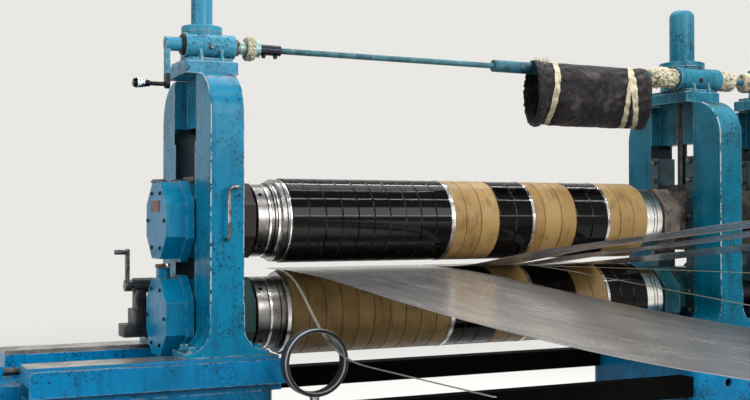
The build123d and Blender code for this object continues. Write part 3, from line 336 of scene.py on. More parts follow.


# %% [markdown]
# ## Masks of the edges
#
# Paint wears first where a rag, a sling or a sleeve rubs, which is along the edges. On a sharp edge the
# Bevel node rounds the normal, and the mask shows where that leaves the real one. The housings' arrises
# are rounded in the solid itself, where that node finds nothing, so their mask comes from the normal: its
# share along X is halfway between two faces only on the arris. That pale arris is worn paint and also a
# painted highlight, the bright line that a rounded arris catches.

# %% Edges
def edges_mask(tree, radius_mm):
    """A mask of the edges: where a rounded normal leaves the real one."""
    rounded = add_node(tree, "ShaderNodeBevel", {"Radius": radius_mm / 1000}, samples=4)
    surface = add_node(tree, "ShaderNodeNewGeometry")
    same = add_node(tree, "ShaderNodeVectorMath", operation="DOT_PRODUCT",
                    links={0: rounded.outputs["Normal"], 1: surface.outputs["Normal"]})
    return mask(tree, rest_of(tree, same.outputs["Value"]), 0.02, 0.16)


def arris_wear_and_highlight_mask(tree):
    """A mask of the rounded arris beside a face across X, for its wear and its painted highlight."""
    ahead = facing(tree, "X")
    square = join(tree, ahead, ahead)
    return mask(tree, join(tree, square, rest_of(tree, square)), 0.13, 0.24)


# %% [markdown]
# ## Machine enamel
#
# The housings, bases, jacks and covers are sand castings and plate, brushed with oil-based machine enamel.
# Enamel gives a high gloss that wobbles over the casting skin, at about 35 mm a wave. It chips to dark
# primer in dots of 6 to 9 mm, wears bright along the edges, and holds oily dust on every flat top. The
# near stand is a mid blue, the far stands are more teal, and the beds and bases a stronger blue. Higher
# up, towards the roof, all of it turns paler. One function with a few settings makes every enamel, so that
# they age alike. A round part's normals all look like an arris, so only the housings ask for that pale
# arris, which is worn paint and a painted highlight.

# %% Enamel
def enamel_tone(tree, place, up, body, deep, pale, sooty):
    """The enamel's colour: slow changes, paler towards the roof, pale patches, runs and soot."""
    colour = over(tree, body, deep, mask(tree, grain(tree, place, 420, detail=4), 0.42, 0.68, 0.75))
    paler_up_high = join(tree, mask(tree, up, 1.1, 1.85), mask(tree, grain(tree, place, 300), 0.2, 0.6))
    colour = over(tree, colour, pale, mask(tree, paler_up_high, 0.0, 1.0, 0.85))
    colour = over(tree, colour, pale, mask(tree, grain(tree, place, 150, (1, 1, 2.2)), 0.54, 0.74, 0.35))
    runs = grain(tree, place, 26, (1, 1, 14), detail=2)
    colour = over(tree, colour, deep, mask(tree, runs, 0.5, 0.72, 0.5))
    soot = join(tree, grain(tree, place, 95, detail=5), grain(tree, place, 11, detail=2))
    return over(tree, colour, "#0d2a33", mask(tree, soot, 0.26, 0.4, sooty))


def enamel_chips(tree, place, edge, chip_mm):
    """A mask of round chips that come in patches, and of bruises along the edges."""
    cell_mm = 30
    cells = add_node(tree, "ShaderNodeTexVoronoi", {"Scale": 1000 / cell_mm}, {"Vector": place})
    chipped = join(tree, mask(tree, cells.outputs["Distance"], chip_mm / cell_mm, 0.6 * chip_mm / cell_mm),
                   mask(tree, grain(tree, place, 180, detail=3), 0.43, 0.53))
    bruised = join(tree, mask(tree, edge, 0.2, 0.7), mask(tree, grain(tree, place, 17, detail=4), 0.56, 0.62))
    return join(tree, chipped, bruised, "MAXIMUM")


def enamel(name, body, deep, pale, dust="#2a3230", wear=0.75, chip_mm=4.6, arris=False, sooty=0.7):
    """Blue machine enamel on castings: chips, worn edges, a painted arris highlight if asked, dust on tops.
    """
    finish, tree, shader, place = new_finish(name, 0.3)
    shader.inputs["Specular IOR Level"].default_value = 0.14
    up = station(tree, "Z")
    colour = enamel_tone(tree, place, up, body, deep, pale, sooty)
    ledge = mask(tree, facing(tree, "Z"), 0.7, 0.95)
    patchy = mask(tree, grain(tree, place, 60, detail=5), 0.3, 0.62)
    colour = over(tree, colour, dust, mask(tree, join(tree, ledge, patchy), 0.0, 1.0, 0.85))
    edge = edges_mask(tree, 7)
    # On the housings the pale arris is worn paint and a painted highlight
    if arris:
        above_foot = mask(tree, up, WAY_TOP + 0.11, WAY_TOP + 0.14)
        edge = join(tree, edge, join(tree, arris_wear_and_highlight_mask(tree), above_foot), "MAXIMUM")
    broken = mask(tree, grain(tree, place, 34, detail=5), 0.36, 0.54)
    # Pale edges: worn paint, and on the housings' arrises a painted highlight too
    colour = over(tree, colour, "#c3cdce", mask(tree, join(tree, edge, broken), 0.1, 0.8, wear))
    chips = enamel_chips(tree, place, edge, chip_mm)
    colour = over(tree, colour, "#17242a", chips)
    tree.links.new(colour, shader.inputs["Base Color"])
    gloss = vary_roughness(tree, shader, 0.14, 0.42, grain(tree, place, 70, detail=4))
    # A chip has lost the gloss
    dull = add_node(tree, "ShaderNodeMath", {1: 0.45}, {0: chips, 2: gloss}, operation="MULTIPLY_ADD",
                    use_clamp=True)
    tree.links.new(dull.outputs["Value"], shader.inputs["Roughness"])
    skin = bump(tree, shader, grain(tree, place, 38, detail=2), 1.6, 0.5)
    fine = bump(tree, shader, grain(tree, place, 9, detail=2), 0.35, 0.5, skin)
    bump(tree, shader, rest_of(tree, chips), 0.5, 0.8, fine)
    return finish


MID_BLUE = ("#007ba2", "#005873", "#4394b0")       # body, deep and pale
TEAL = ("#006680", "#00495c", "#388096")
near_enamel = enamel("machine_enamel_mid_blue", *MID_BLUE)
far_enamel = enamel("machine_enamel_teal", *TEAL)
base_enamel = enamel("machine_enamel_strong_blue", "#007cb0", "#005f88", "#1089bd", wear=0.35)
cover_enamel = enamel("machine_enamel_cover", "#0084b0", "#00607f", "#529bb5", wear=0.25, chip_mm=3.0,
                      sooty=0.25)
dark_enamel = enamel("machine_enamel_oily", "#1c4c55", "#122d33", "#5d7f7c", dust="#121414", wear=0.3)
print("enamels", [m.name for m in bpy.data.materials if "enamel" in m.name])

# %% [markdown]
# ## Oil and painted shade in the windows
#
# Paint never reached the inside of a housing's window or a liner's sliding faces, and the chocks keep both
# oiled. They are painted nearly black, for that oil and as a painted shade deep in the window. They belong
# to the same solids as the blue faces. A second material slot would need faces to be picked in the mesh, so
# a mask picks them instead: by their place in the housing, which is cast with a sound outline, and by their
# normal on the liners, which have square faces.

# %% Housings and liners
def oily_shaded_window(finish):
    """Blackens the inside of a housing's window, for oil and as a painted shade."""
    tree, shader, place = reopen(finish)
    up = station(tree, "Z")
    aside = add_node(tree, "ShaderNodeMath", links={0: station(tree, "Y")}, operation="ABSOLUTE")
    beside = mask(tree, aside.outputs["Value"], WINDOW_HALF + 0.002, WINDOW_HALF + 0.001)
    below = mask(tree, up, WINDOW_TOP + 0.002, WINDOW_TOP + 0.001)
    inside = join(tree, join(tree, beside, below), mask(tree, up, WAY_TOP - 0.05, WAY_TOP - 0.02))
    oil_and_shade = join(tree, inside, mask(tree, grain(tree, place, 45, detail=4), 0.2, 0.4))
    # Near black: oil, and a painted shade deep in the window
    paint_over(tree, shader, "#090c0e", mask(tree, oil_and_shade, 0.0, 1.0, 0.95))
    return finish


def oily_shaded_jamb(finish):
    """Blackens the faces of a liner that a chock slides on, for oil and as a painted shade."""
    tree, shader, _ = reopen(finish)
    across = add_node(tree, "ShaderNodeMath", links={0: facing(tree, "Y")}, operation="ABSOLUTE")
    # Near black: oil, and a painted shade on the jambs inside the window
    paint_over(tree, shader, "#0a0d0f", mask(tree, across.outputs["Value"], 0.5, 0.7, 0.95))
    return finish


near_housing_enamel = oily_shaded_window(enamel("housing_enamel_mid_blue", *MID_BLUE, wear=0.9, arris=True))
far_housing_enamel = oily_shaded_window(enamel("housing_enamel_teal", *TEAL, wear=0.7, arris=True))
near_liner_enamel = oily_shaded_jamb(enamel("liner_enamel_mid_blue", *MID_BLUE))
print("oily", near_housing_enamel.name, far_housing_enamel.name, near_liner_enamel.name)

# %% [markdown]
# ## Bare and polished metal
#
# Turned steel shows the lathe: fine rings round the axis, here every 3 mm, so that they still show. Ground
# knives are brighter. Plate that was machined flat has long cutter lines, and a dirty casting is a brown
# grey with almost no shine. An anisotropic shader could give the lathe's streak of light, but lines in the
# bump also break it up as tool marks do. A metal keeps Blender's default index of refraction.

# %% Metals
def metal(name, bright, dark, roughness, line_mm=None, stretch=(1, 1, 1), blotch_mm=60, stain="#2a2622",
          stained=0.4, metallic=1.0, depth_mm=0.05, underside_oil_and_shade=0.0):
    """Bare metal with tool lines, tone that changes slowly, stains, and oil with painted shade underneath."""
    finish, tree, shader, place = new_finish(name, roughness, metallic)
    colour = over(tree, bright, dark, mask(tree, grain(tree, place, blotch_mm, detail=4), 0.4, 0.66))
    blots = grain(tree, place, blotch_mm / 3, detail=6)
    colour = over(tree, colour, stain, mask(tree, blots, 0.55, 0.7, stained))
    # Faces that look down are darkened: oil, and a painted shade for the dark surroundings they would mirror
    if underside_oil_and_shade:
        colour = over(tree, colour, "#0e0c0b", mask(tree, facing(tree, "Z"), 0.15, -0.55, underside_oil_and_shade))
    if line_mm:
        lines = grain(tree, place, line_mm, stretch, detail=2)
        colour = over(tree, colour, dark, mask(tree, lines, 0.5, 0.75, 0.45))
    else:
        lines = grain(tree, place, 7, detail=4)
    bump(tree, shader, lines, depth_mm, 0.6)
    tree.links.new(colour, shader.inputs["Base Color"])
    vary_roughness(tree, shader, roughness * 0.7, min(1.0, roughness * 1.5),
                   grain(tree, place, blotch_mm / 2, detail=4))
    return finish


ROUND_X = (1, 60, 60)                              # lines that run round an axis along X
turned_steel = metal("turned_steel", "#989595", "#484646", 0.22, line_mm=3, stretch=ROUND_X, blotch_mm=70,
                     stained=0.35, underside_oil_and_shade=0.85)
nut_steel = metal("turned_nut_steel", "#8d8a88", "#5d5a58", 0.27, line_mm=2, stretch=ROUND_X, blotch_mm=80,
                  stained=0.2, underside_oil_and_shade=0.85)
ground_steel = metal("ground_knife_steel", "#c4c2be", "#86837e", 0.24, line_mm=2, stretch=ROUND_X,
                     blotch_mm=40, stained=0.2)
way_steel = metal("scraped_way_steel", "#b3b1ad", "#77756f", 0.3, line_mm=6, stretch=(60, 1, 1), blotch_mm=90)
dirty_casting = metal("dirty_casting", "#6d645b", "#453f3a", 0.55, blotch_mm=70, stain="#1d1a18",
                      stained=0.8, metallic=0.35, depth_mm=0.6)
black_iron = metal("blackened_iron", "#4a4b4c", "#24262a", 0.42, blotch_mm=50, stain="#5a4636",
                   stained=0.35, metallic=0.6, depth_mm=0.4)
liner_iron = metal("oiled_liner_iron", "#24464f", "#13272c", 0.35, line_mm=8, stretch=(60, 60, 1),
                   stained=0.6, metallic=0.3, depth_mm=0.2)
screw_iron = metal("greased_screw_iron", "#3a3a3a", "#191a1b", 0.35, line_mm=5, stretch=(60, 60, 1),
                   blotch_mm=40, stained=0.7, metallic=0.8, depth_mm=0.4)
bolt_steel = metal("dark_bolt_steel", "#6a6a68", "#2f3030", 0.4, blotch_mm=20, stain="#1b1b1b", stained=0.6,
                   metallic=0.8, depth_mm=0.15)
bright_bolt_steel = metal("bright_bolt_steel", "#c4c1bb", "#827f7a", 0.28, blotch_mm=18, stained=0.25,
                          depth_mm=0.1)
handle_steel = metal("rubbed_handle_steel", "#8c8c8b", "#4b4a49", 0.3, blotch_mm=25, depth_mm=0.1)
chrome = metal("worn_chrome", "#d6d6d8", "#8d8f94", 0.12, blotch_mm=30, stain="#1c1c22", stained=0.5)
print("materials so far", len(bpy.data.materials))

# %% [markdown]
# ## Ring coats
#
# The rings fill the arbor between the knives. Some are hardened steel, blacked and polished, and mirror the
# lamps as broken lines because no two rings sit quite true. Their rims are painted grey, for wear and as a
# painted highlight where the eased rims catch the lamps. Others are bonded with a tan polyurethane that
# keeps dark scuffs from the strip's edge, running round the ring, and their rims are painted darker. Each
# ring is its own mesh island, and Random Per Island gives each one its own tone, so one material serves
# them all.

# %% Ring coats
def ring_coat(name, body, deep, scuff, scuffed, rim, rim_wear_and_highlight, gloss, wave_mm, shine):
    """One kind of ring's coat: round scuffs, rims painted for wear and highlight, a tone for each ring."""
    finish, tree, shader, place = new_finish(name, gloss[0])
    shader.inputs["Specular IOR Level"].default_value = shine
    island = add_node(tree, "ShaderNodeNewGeometry").outputs["Random Per Island"]
    colour = over(tree, body, deep, mask(tree, island, 0.0, 1.0, 0.7))
    colour = over(tree, colour, deep, mask(tree, grain(tree, place, 120, detail=3), 0.45, 0.7, 0.6))
    marks = join(tree, grain(tree, place, 5, (1, 30, 30), detail=3), grain(tree, place, 60, detail=3))
    colour = over(tree, colour, scuff, mask(tree, marks, 0.25, 0.36, scuffed))
    # Rims: worn, and on the black rings a painted highlight of the lamps
    rims_worn_and_highlit = join(tree, edges_mask(tree, 2.5), mask(tree, grain(tree, place, 60, detail=4), 0.4, 0.55))
    colour = over(tree, colour, rim, mask(tree, rims_worn_and_highlit, 0.2, 0.8, rim_wear_and_highlight))
    tree.links.new(colour, shader.inputs["Base Color"])
    vary_roughness(tree, shader, *gloss, join(tree, grain(tree, place, 45, detail=4), island, "ADD"))
    bump(tree, shader, grain(tree, place, wave_mm, (1, 4, 4), detail=2), 0.25, 0.5)
    return finish


# The grey on the black rings' rims is wear and a painted highlight of the lamps
black_coat = ring_coat("polished_black_ring", "#030303", "#070606", "#1c1b1c", 0.12, "#8e8f92", 0.8,
                       gloss=(0.05, 0.09), wave_mm=55, shine=0.14)
tan_coat = ring_coat("tan_polyurethane", "#9f8353", "#8a6c3e", "#523c20", 0.45, "#3a2a17", 0.5,
                     gloss=(0.3, 0.42), wave_mm=40, shine=0.25)
print("ring coats", black_coat.name, tan_coat.name)

# %% [markdown]
# ## Strip steel
#
# Cold rolled strip leaves the mill with fine streaks along its length, here along Y, and a faint haze of
# oil that dries in pale clouds. It is never quite flat, and slow waves of 26 mm break up what it mirrors.
# Real waves in the mesh would cost many faces for a tenth of a millimetre, so they are in the bump.

# %% Strip
def strip_finish(name, bright, dark, cloudy, metallic, wave_mm=0.22):
    """Cold rolled strip, streaked along its length, and a little wavy."""
    finish, tree, shader, place = new_finish(name, 0.3, metallic)
    colour = over(tree, bright, dark, mask(tree, grain(tree, place, 14, (1, 70, 70), detail=4), 0.35, 0.7))
    haze = join(tree, grain(tree, place, 260, (1, 2.5, 1), detail=5),
                grain(tree, place, 40, (1, 5, 1), detail=3))
    colour = over(tree, colour, "#b9b6b0", mask(tree, haze, 0.24, 0.42, cloudy))
    spots = mask(tree, grain(tree, place, 9, detail=2), 0.68, 0.74, 0.4)
    colour = over(tree, colour, "#4f4d4c", spots)
    tree.links.new(colour, shader.inputs["Base Color"])
    vary_roughness(tree, shader, 0.2, 0.42, haze)
    fine = bump(tree, shader, grain(tree, place, 6, (1, 60, 60), detail=3), 0.06, 0.5)
    bump(tree, shader, grain(tree, place, 26, detail=3), wave_mm, 0.6, fine)
    return finish


rolled_strip = strip_finish("cold_rolled_strip", "#bcb9b6", "#959290", cloudy=0.4, metallic=0.9)
oiled_strip = strip_finish("oiled_narrow_strip", "#9c928c", "#7b716c", cloudy=0.2, metallic=0.5,
                           wave_mm=0.03)
bright_trim = strip_finish("bright_trimmed_edge", "#dcd6c8", "#aaa495", cloudy=0.3, metallic=0.5,
                           wave_mm=0.02)
print("strips", rolled_strip.name, oiled_strip.name, bright_trim.name)

# %% [markdown]
# ## Ways
#
# A way is ground steel on top, where the stand slides, but the painter's brush also went over the front
# way's upright face. The same solid shows both, so a mask takes the upright faces on that side by their
# normal and their place, and the finish stops being a metal there.

# %% Ways
def painted_edge(finish, colour):
    """Paints the front way's upright face, as the bed below it, and leaves its top bare."""
    tree, shader, place = reopen(finish)
    upright = mask(tree, facing(tree, "Z"), 0.6, 0.5)
    front = mask(tree, station(tree, "Y"), -0.1, -0.12)
    kept = mask(tree, grain(tree, place, 24, detail=4), 0.24, 0.36)
    paint = join(tree, join(tree, upright, front), kept)
    paint_over(tree, shader, colour, paint)
    tree.links.new(rest_of(tree, paint), shader.inputs["Metallic"])
    return finish


painted_way = painted_edge(way_steel, "#0476a4")
print("ways", painted_way.name, len(painted_way.node_tree.nodes), "nodes")

# %% [markdown]
# ## Paint, canvas and tape
#
# The tie rails are sprayed black, the shafts a dull teal, and the sleeve is canvas stiff with tar. A weave
# of half a millimetre is far too fine to show from here, so cloth and tape get a coarser crumple of 9 mm
# instead. Pieces that are crumpled in the mesh carry an attribute named raised, from 0 in a pit to 1 on a
# ridge, so that dirt and a painted shade lie in the very pits that the mesh has, and ridges are paler, for
# wear and as a painted highlight.

# %% Paint and cloth for the small pieces
def coat(name, body, deep, scuff, roughness, grain_mm=25, depth_mm=0.3, sheen=0.0, scuffed=0.5,
         stretch=(1, 1, 1), pit_dirt_and_shade=None, ridge_wear_and_highlight=None, shine=0.2):
    """Paint, tape or cloth: two tones, scuffs, dirt and painted shade in pits, highlit ridges, grain bump."""
    finish, tree, shader, place = new_finish(name, roughness)
    shader.inputs["Sheen Weight"].default_value = sheen
    shader.inputs["Specular IOR Level"].default_value = shine
    tones = grain(tree, place, grain_mm * 3, stretch, detail=4)
    colour = over(tree, body, deep, mask(tree, tones, 0.4, 0.64))
    scuffs = grain(tree, place, grain_mm, stretch, detail=5)
    colour = over(tree, colour, scuff, mask(tree, scuffs, 0.56, 0.68, scuffed))
    if pit_dirt_and_shade:
        # Dirt and painted shade in the pits; wear and a painted highlight on the ridges
        raised = add_node(tree, "ShaderNodeAttribute", attribute_name="raised").outputs["Fac"]
        colour = over(tree, colour, pit_dirt_and_shade, mask(tree, raised, 0.5, 0.15, 0.9))
        colour = over(tree, colour, ridge_wear_and_highlight, mask(tree, raised, 0.55, 0.9, 0.6))
    tree.links.new(colour, shader.inputs["Base Color"])
    vary_roughness(tree, shader, roughness * 0.8, min(1.0, roughness * 1.3),
                   grain(tree, place, grain_mm * 2, detail=3))
    bump(tree, shader, grain(tree, place, grain_mm / 2, stretch, detail=3), depth_mm, 0.7)
    return finish


rail_paint = coat("black_paint", "#040404", "#080808", "#161513", 0.85, grain_mm=60, depth_mm=0.5,
                  scuffed=0.3, shine=0.04)
sleeve_cloth = coat("tarred_canvas", "#211d20", "#131113", "#585154", 0.7, grain_mm=9, depth_mm=1.5,
                    sheen=0.05, scuffed=0.45, stretch=(1, 1.8, 1.8), pit_dirt_and_shade="#070607", ridge_wear_and_highlight="#57504f")
rod_paint = coat("dull_teal_shaft_paint", "#3f707b", "#294d57", "#93a7a8", 0.4, grain_mm=22, scuffed=0.35)
tube_paint = coat("dull_blue_tube_paint", "#2c6474", "#1f4652", "#7f9aa0", 0.45, grain_mm=22, depth_mm=0.4,
                  scuffed=0.3)
tape_cloth = coat("cream_masking_tape", "#cdc5ac", "#a0967b", "#6a5f4a", 0.62, grain_mm=9, depth_mm=1.0,
                  sheen=0.05, pit_dirt_and_shade="#2e281f", ridge_wear_and_highlight="#dcd6c3")
hoop_paint = coat("hoop_paint_with_worn_highlit_rims", "#343b42", "#22272c", "#5d646b", 0.22, grain_mm=14,
                  depth_mm=0.2, scuffed=0.4, pit_dirt_and_shade="#1b2026", ridge_wear_and_highlight="#e3e4e5")
seal_rubber = coat("black_seal_rubber", "#131313", "#0b0b0b", "#33302d", 0.45, grain_mm=12)
brown_primer = coat("brown_primer", "#7a5a52", "#5b403b", "#a3999a", 0.45, grain_mm=10, depth_mm=0.2)
print("finishes", len(bpy.data.materials))

# %% [markdown]
# ## Bands of another finish
#
# Some solids show two finishes: the crank has a bare black end, the grip has dark grooves in its chrome,
# and the chocks are bare iron where the painter stopped. The upper chock's top, seen in the window, is
# darkened for oil and as a painted shade. A band between two stations of an axis, in Object coordinates,
# needs no change to the mesh, and a patchy mask keeps its colour from looking stamped on.

# %% Bands
BAND_EDGE = 0.0004                                 # half the width over which a band sets in


def banded(finish, name, *bands):
    """A copy of a finish with bands: axis, start, end, colour and roughness of each."""
    finish = finish.copy()
    finish.name = name
    tree, shader, place = reopen(finish)
    for axis, start, end, colour, rough in bands:
        at = station(tree, axis)
        inside = join(tree, mask(tree, at, start - BAND_EDGE, start + BAND_EDGE),
                      mask(tree, at, end + BAND_EDGE, end - BAND_EDGE))
        cover = join(tree, inside, mask(tree, grain(tree, place, 9, detail=4), 0.22, 0.36))
        paint_over(tree, shader, colour, cover)
        old = shader.inputs["Roughness"].links[0].from_socket
        mixed = add_node(tree, "ShaderNodeMix", {3: rough}, {0: cover, 2: old})
        tree.links.new(mixed.outputs[0], shader.inputs["Roughness"])
    return finish


crank_enamel = banded(enamel("crank_enamel", *MID_BLUE, wear=0.4), "machine_enamel_crank",
                      ("Z", WORM_Z - 0.17, WORM_Z - 0.103, "#101114", 0.35))
grip_chrome = banded(chrome, "worn_chrome_and_black",
                     ("X", OUT_FACE - 0.202, OUT_FACE - 0.188, "#191a1f", 0.3),
                     ("X", OUT_FACE - 0.162, OUT_FACE - 0.143, "#15161b", 0.3))
coupling_steel = banded(bolt_steel, "oiled_coupling_steel",
                        ("X", OUT_FACE + 0.170, OUT_FACE + 0.192, "#7b958f", 0.4),
                        ("X", OUT_FACE + 0.222, OUT_FACE + 0.246, "#6c9295", 0.4),
                        ("X", OUT_FACE + 0.246, OUT_FACE + 0.324, "#1e2029", 0.2))
# The band over the chock's top, seen in the window, is oil and a painted shade
upper_chock_paint = banded(cover_enamel, "enamel_oily_iron_and_painted_shade",
                           ("X", OUT_FACE + 0.12, OUT_FACE + 0.22, "#2e2626", 0.45),
                           ("Z", UPPER_Z + 0.137, UPPER_Z + 0.2, "#241f1c", 0.5))
lower_chock_paint = banded(cover_enamel, "enamel_and_brown_block",
                           ("Z", LOWER_Z + 0.168, LOWER_Z + 0.182, "#553c30", 0.5),
                           ("X", OUT_FACE + 0.12, OUT_FACE + 0.22, "#29423f", 0.35))
print("banded", crank_enamel.name, grip_chrome.name, coupling_steel.name)

# %% [markdown]
# ## Nuts and collars
#
# The nuts are turned with thin grooves, which fill with black oil, and the lands beside them are worn
# bright and carry a painted highlight. Their steps are listed once, because the mesh of each nut is made
# from the same list further on. The shaft's collar carries a pale band, a painted highlight.

# %% Nuts and collars
# Pale lands are worn steel and a painted highlight
GROOVE, WORN_AND_HIGHLIT = ("#0b0a0a", 0.5), ("#c9c6c3", 0.22)       # colour and roughness
# Steps of each arbor nut, from the outer face: start, end, diameter, and the finish where it isn't plain
UPPER_NUT = ((0.226, 0.264, 0.258, None), (0.264, 0.267, 0.250, GROOVE), (0.267, 0.276, 0.258, WORN_AND_HIGHLIT),
             (0.276, 0.288, 0.258, None), (0.288, 0.2955, 0.272, None), (0.2955, 0.2985, 0.264, GROOVE),
             (0.2985, 0.310, 0.272, WORN_AND_HIGHLIT), (0.310, 0.327, 0.296, None), (0.327, 0.3295, 0.289, GROOVE),
             (0.3295, 0.3385, 0.296, None), (0.3385, 0.345, 0.296, WORN_AND_HIGHLIT))
LOWER_NUT = ((0.226, 0.268, 0.258, None), (0.268, 0.271, 0.251, GROOVE), (0.271, 0.281, 0.258, WORN_AND_HIGHLIT),
             (0.281, 0.310, 0.258, None), (0.310, 0.313, 0.251, GROOVE), (0.313, 0.330, 0.258, None),
             (0.330, 0.345, 0.290, WORN_AND_HIGHLIT))


def nut_finish(name, steps):
    """Turned steel for a nut, with oil in its grooves and pale lands: worn, and a painted highlight."""
    return banded(nut_steel, name, *[("X", OUT_FACE + start, OUT_FACE + end, *look)
                                     for start, end, _, look in steps if look])


upper_nut_steel = nut_finish("turned_steel_with_grooves", UPPER_NUT)
lower_nut_steel = nut_finish("turned_steel_of_the_lower_nut", LOWER_NUT)
# The pale band over the collar is a painted highlight
shaft_steel = banded(turned_steel, "turned_shaft_steel",
                     ("X", IN_FACE - 0.2545, IN_FACE - 0.15, "#e2dfda", 0.24),
                     ("X", IN_FACE - 0.205, IN_FACE - 0.2015, *GROOVE),
                     ("X", IN_FACE - 0.19, IN_FACE - 0.186, *GROOVE))
print("nuts", len(UPPER_NUT), "and", len(LOWER_NUT), "steps")

# %% [markdown]
# ## Painting the CAD pieces
#
# Most solids already have the right shape, so they only need their finish. It goes into the slots of the
# CAD object, and the mesh stays as it is. One table says which finish each piece has, because that is
# easier to check against a photograph than a line of code for each piece.

# %% Finish of each CAD piece
FINISH_OF = {
    near_housing_enamel: "outboard_housing",
    near_enamel: "outboard_cap outboard_jack outboard_screw_cover",
    near_liner_enamel: "outboard_liners",
    upper_chock_paint: "outboard_upper_chock",
    lower_chock_paint: "outboard_lower_chock",
    far_housing_enamel: "inboard_housing drive_housing",
    far_enamel: "inboard_caps inboard_jacks inboard_screw_covers",
    dark_enamel: "inboard_lower_chocks",
    tube_paint: "drive_tube",
    base_enamel: "outboard_base outboard_bed inboard_base inboard_bed",
    crank_enamel: "crank_arm",
    grip_chrome: "crank_grip",
    coupling_steel: "jaw_coupling",
    shaft_steel: "upper_shaft lower_shaft",
    upper_nut_steel: "upper_nut",
    lower_nut_steel: "lower_nut",
    ground_steel: "upper_knives lower_knives",
    painted_way: "bed_ways",
    screw_iron: "outboard_screw inboard_screws",
    handle_steel: "pull_handle",
    bolt_steel: "traverse_crank",
    dirty_casting: "inboard_upper_chocks",
    black_iron: "scrap_guide_ring traverse_gearbox traverse_screw",
    liner_iron: "inboard_liners",
    rod_paint: "cross_rod",
    rolled_strip: "wide_strip",
    bright_trim: "edge_trims",
    oiled_strip: "narrow_strips",
    rail_paint: "tie_rails",
    black_coat: "upper_black_rings lower_black_rings",
    tan_coat: "upper_tan_rings lower_tan_rings",
    tape_cloth: "taped_couplings",
    sleeve_cloth: "shaft_sleeve",
}
for finish, names in FINISH_OF.items():
    for name in names.split():
        for slot in nodes[name].material_slots:
            slot.material = finish
unpainted = set(nodes) - {name for names in FINISH_OF.values() for name in names.split()}
print("unpainted", sorted(unpainted))

# %% [markdown]
# ## A rule and its points
#
# Rings, bolts and screws repeat. A loop in Python could copy one mesh, but Geometry Nodes keep the rule for
# a piece in one place and make it from points: one vertex for each, which carries its own sizes as
# attributes. The tree has named inputs for the sizes that all share. It ends in Realize Instances and Set
# Material, because an export drops instances. The result becomes a plain mesh.

# %% Running a tree on points
def new_rule(name, *inputs):
    """A geometry node tree with a geometry input, the named sizes, a material, and a geometry output."""
    tree = bpy.data.node_groups.new(name, "GeometryNodeTree")
    tree.is_modifier = True
    tree.interface.new_socket("Geometry", in_out="INPUT", socket_type="NodeSocketGeometry")
    for label in inputs:
        tree.interface.new_socket(label, in_out="INPUT", socket_type="NodeSocketFloat")
    tree.interface.new_socket("Seed", in_out="INPUT", socket_type="NodeSocketInt")
    tree.interface.new_socket("Finish", in_out="INPUT", socket_type="NodeSocketMaterial")
    tree.interface.new_socket("Geometry", in_out="OUTPUT", socket_type="NodeSocketGeometry")
    return tree, add_node(tree, "NodeGroupInput").outputs


def end_rule(tree, given, instances):
    """Realizes the instances, gives them their finish, and sends them out."""
    real = add_node(tree, "GeometryNodeRealizeInstances", links={"Geometry": instances})
    coated = add_node(tree, "GeometryNodeSetMaterial",
                      links={"Geometry": real.outputs["Geometry"], "Material": given["Finish"]})
    add_node(tree, "NodeGroupOutput", links={"Geometry": coated.outputs["Geometry"]})


def run_rule(name, tree, places, sizes, finish, body, slot, smooth=30, **attributes):
    """Runs a tree on points and keeps the result as one plain mesh that rides on a body."""
    mesh = bpy.data.meshes.new(name)
    mesh.from_pydata(places, [], [])
    for label, values in attributes.items():
        vector = hasattr(values[0], "__len__")
        layer = mesh.attributes.new(label, "FLOAT_VECTOR" if vector else "FLOAT", "POINT")
        for item, value in zip(layer.data, values):
            if vector:
                item.vector = value
            else:
                item.value = value
    piece = bpy.data.objects.new(name, mesh)
    bpy.context.scene.collection.objects.link(piece)
    rule = piece.modifiers.new("rule", "NODES")
    rule.node_group = tree
    sockets = {item.name: item.identifier for item in tree.interface.items_tree if item.in_out == "INPUT"}
    for label, value in {**sizes, "Finish": finish}.items():
        rule[sockets[label]] = value
    seen_now = bpy.context.evaluated_depsgraph_get()
    made = bpy.data.meshes.new_from_object(piece.evaluated_get(seen_now))
    piece.modifiers.clear()
    piece.data = made
    made.shade_smooth()
    made.set_sharp_from_angle(angle=math.radians(smooth))
    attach(piece, body)
    print(name, len(places), "points,", len(made.polygons), "faces")
    return piece


# %% [markdown]
# ## Rings on the arbors
#
# Each ring is a closed band with eased rims. A rectangle with cut corners goes round a circle, which Curve
# to Mesh does, and one such ring is put at each point, as wide as the point says. Real rings sit a hair out
# of true, so each leans by up to a tenth of a degree. That is what breaks the reflected lamp lines.

# %% Rule for a ring
ring_rule, given = new_rule("ring_stack", "Outside", "Bore", "Ease")
UNIT_W = 0.065                                     # the modelled ring's width, stretched to each real one
RING_SIDES, RIM_FACETS = 144, 2
both = add_node(ring_rule, "ShaderNodeMath", links={0: given["Outside"], 1: given["Bore"]}, operation="ADD")
middle_r = add_node(ring_rule, "ShaderNodeMath", {1: 0.25}, {0: both.outputs[0]}, operation="MULTIPLY")
apart = add_node(ring_rule, "ShaderNodeMath", links={0: given["Outside"], 1: given["Bore"]},
                 operation="SUBTRACT")
wall = add_node(ring_rule, "ShaderNodeMath", {1: 0.5}, {0: apart.outputs[0]}, operation="MULTIPLY")
hoop = add_node(ring_rule, "GeometryNodeCurvePrimitiveCircle", {"Resolution": RING_SIDES},
                {"Radius": middle_r.outputs[0]})
section = add_node(ring_rule, "GeometryNodeCurvePrimitiveQuadrilateral", {"Height": UNIT_W},
                   {"Width": wall.outputs[0]})
eased = add_node(ring_rule, "GeometryNodeFilletCurve", {"Count": RIM_FACETS},
                 {"Curve": section.outputs["Curve"], "Radius": given["Ease"]}, mode="POLY")
band = add_node(ring_rule, "GeometryNodeCurveToMesh",
                links={"Curve": hoop.outputs["Curve"], "Profile Curve": eased.outputs["Curve"]})
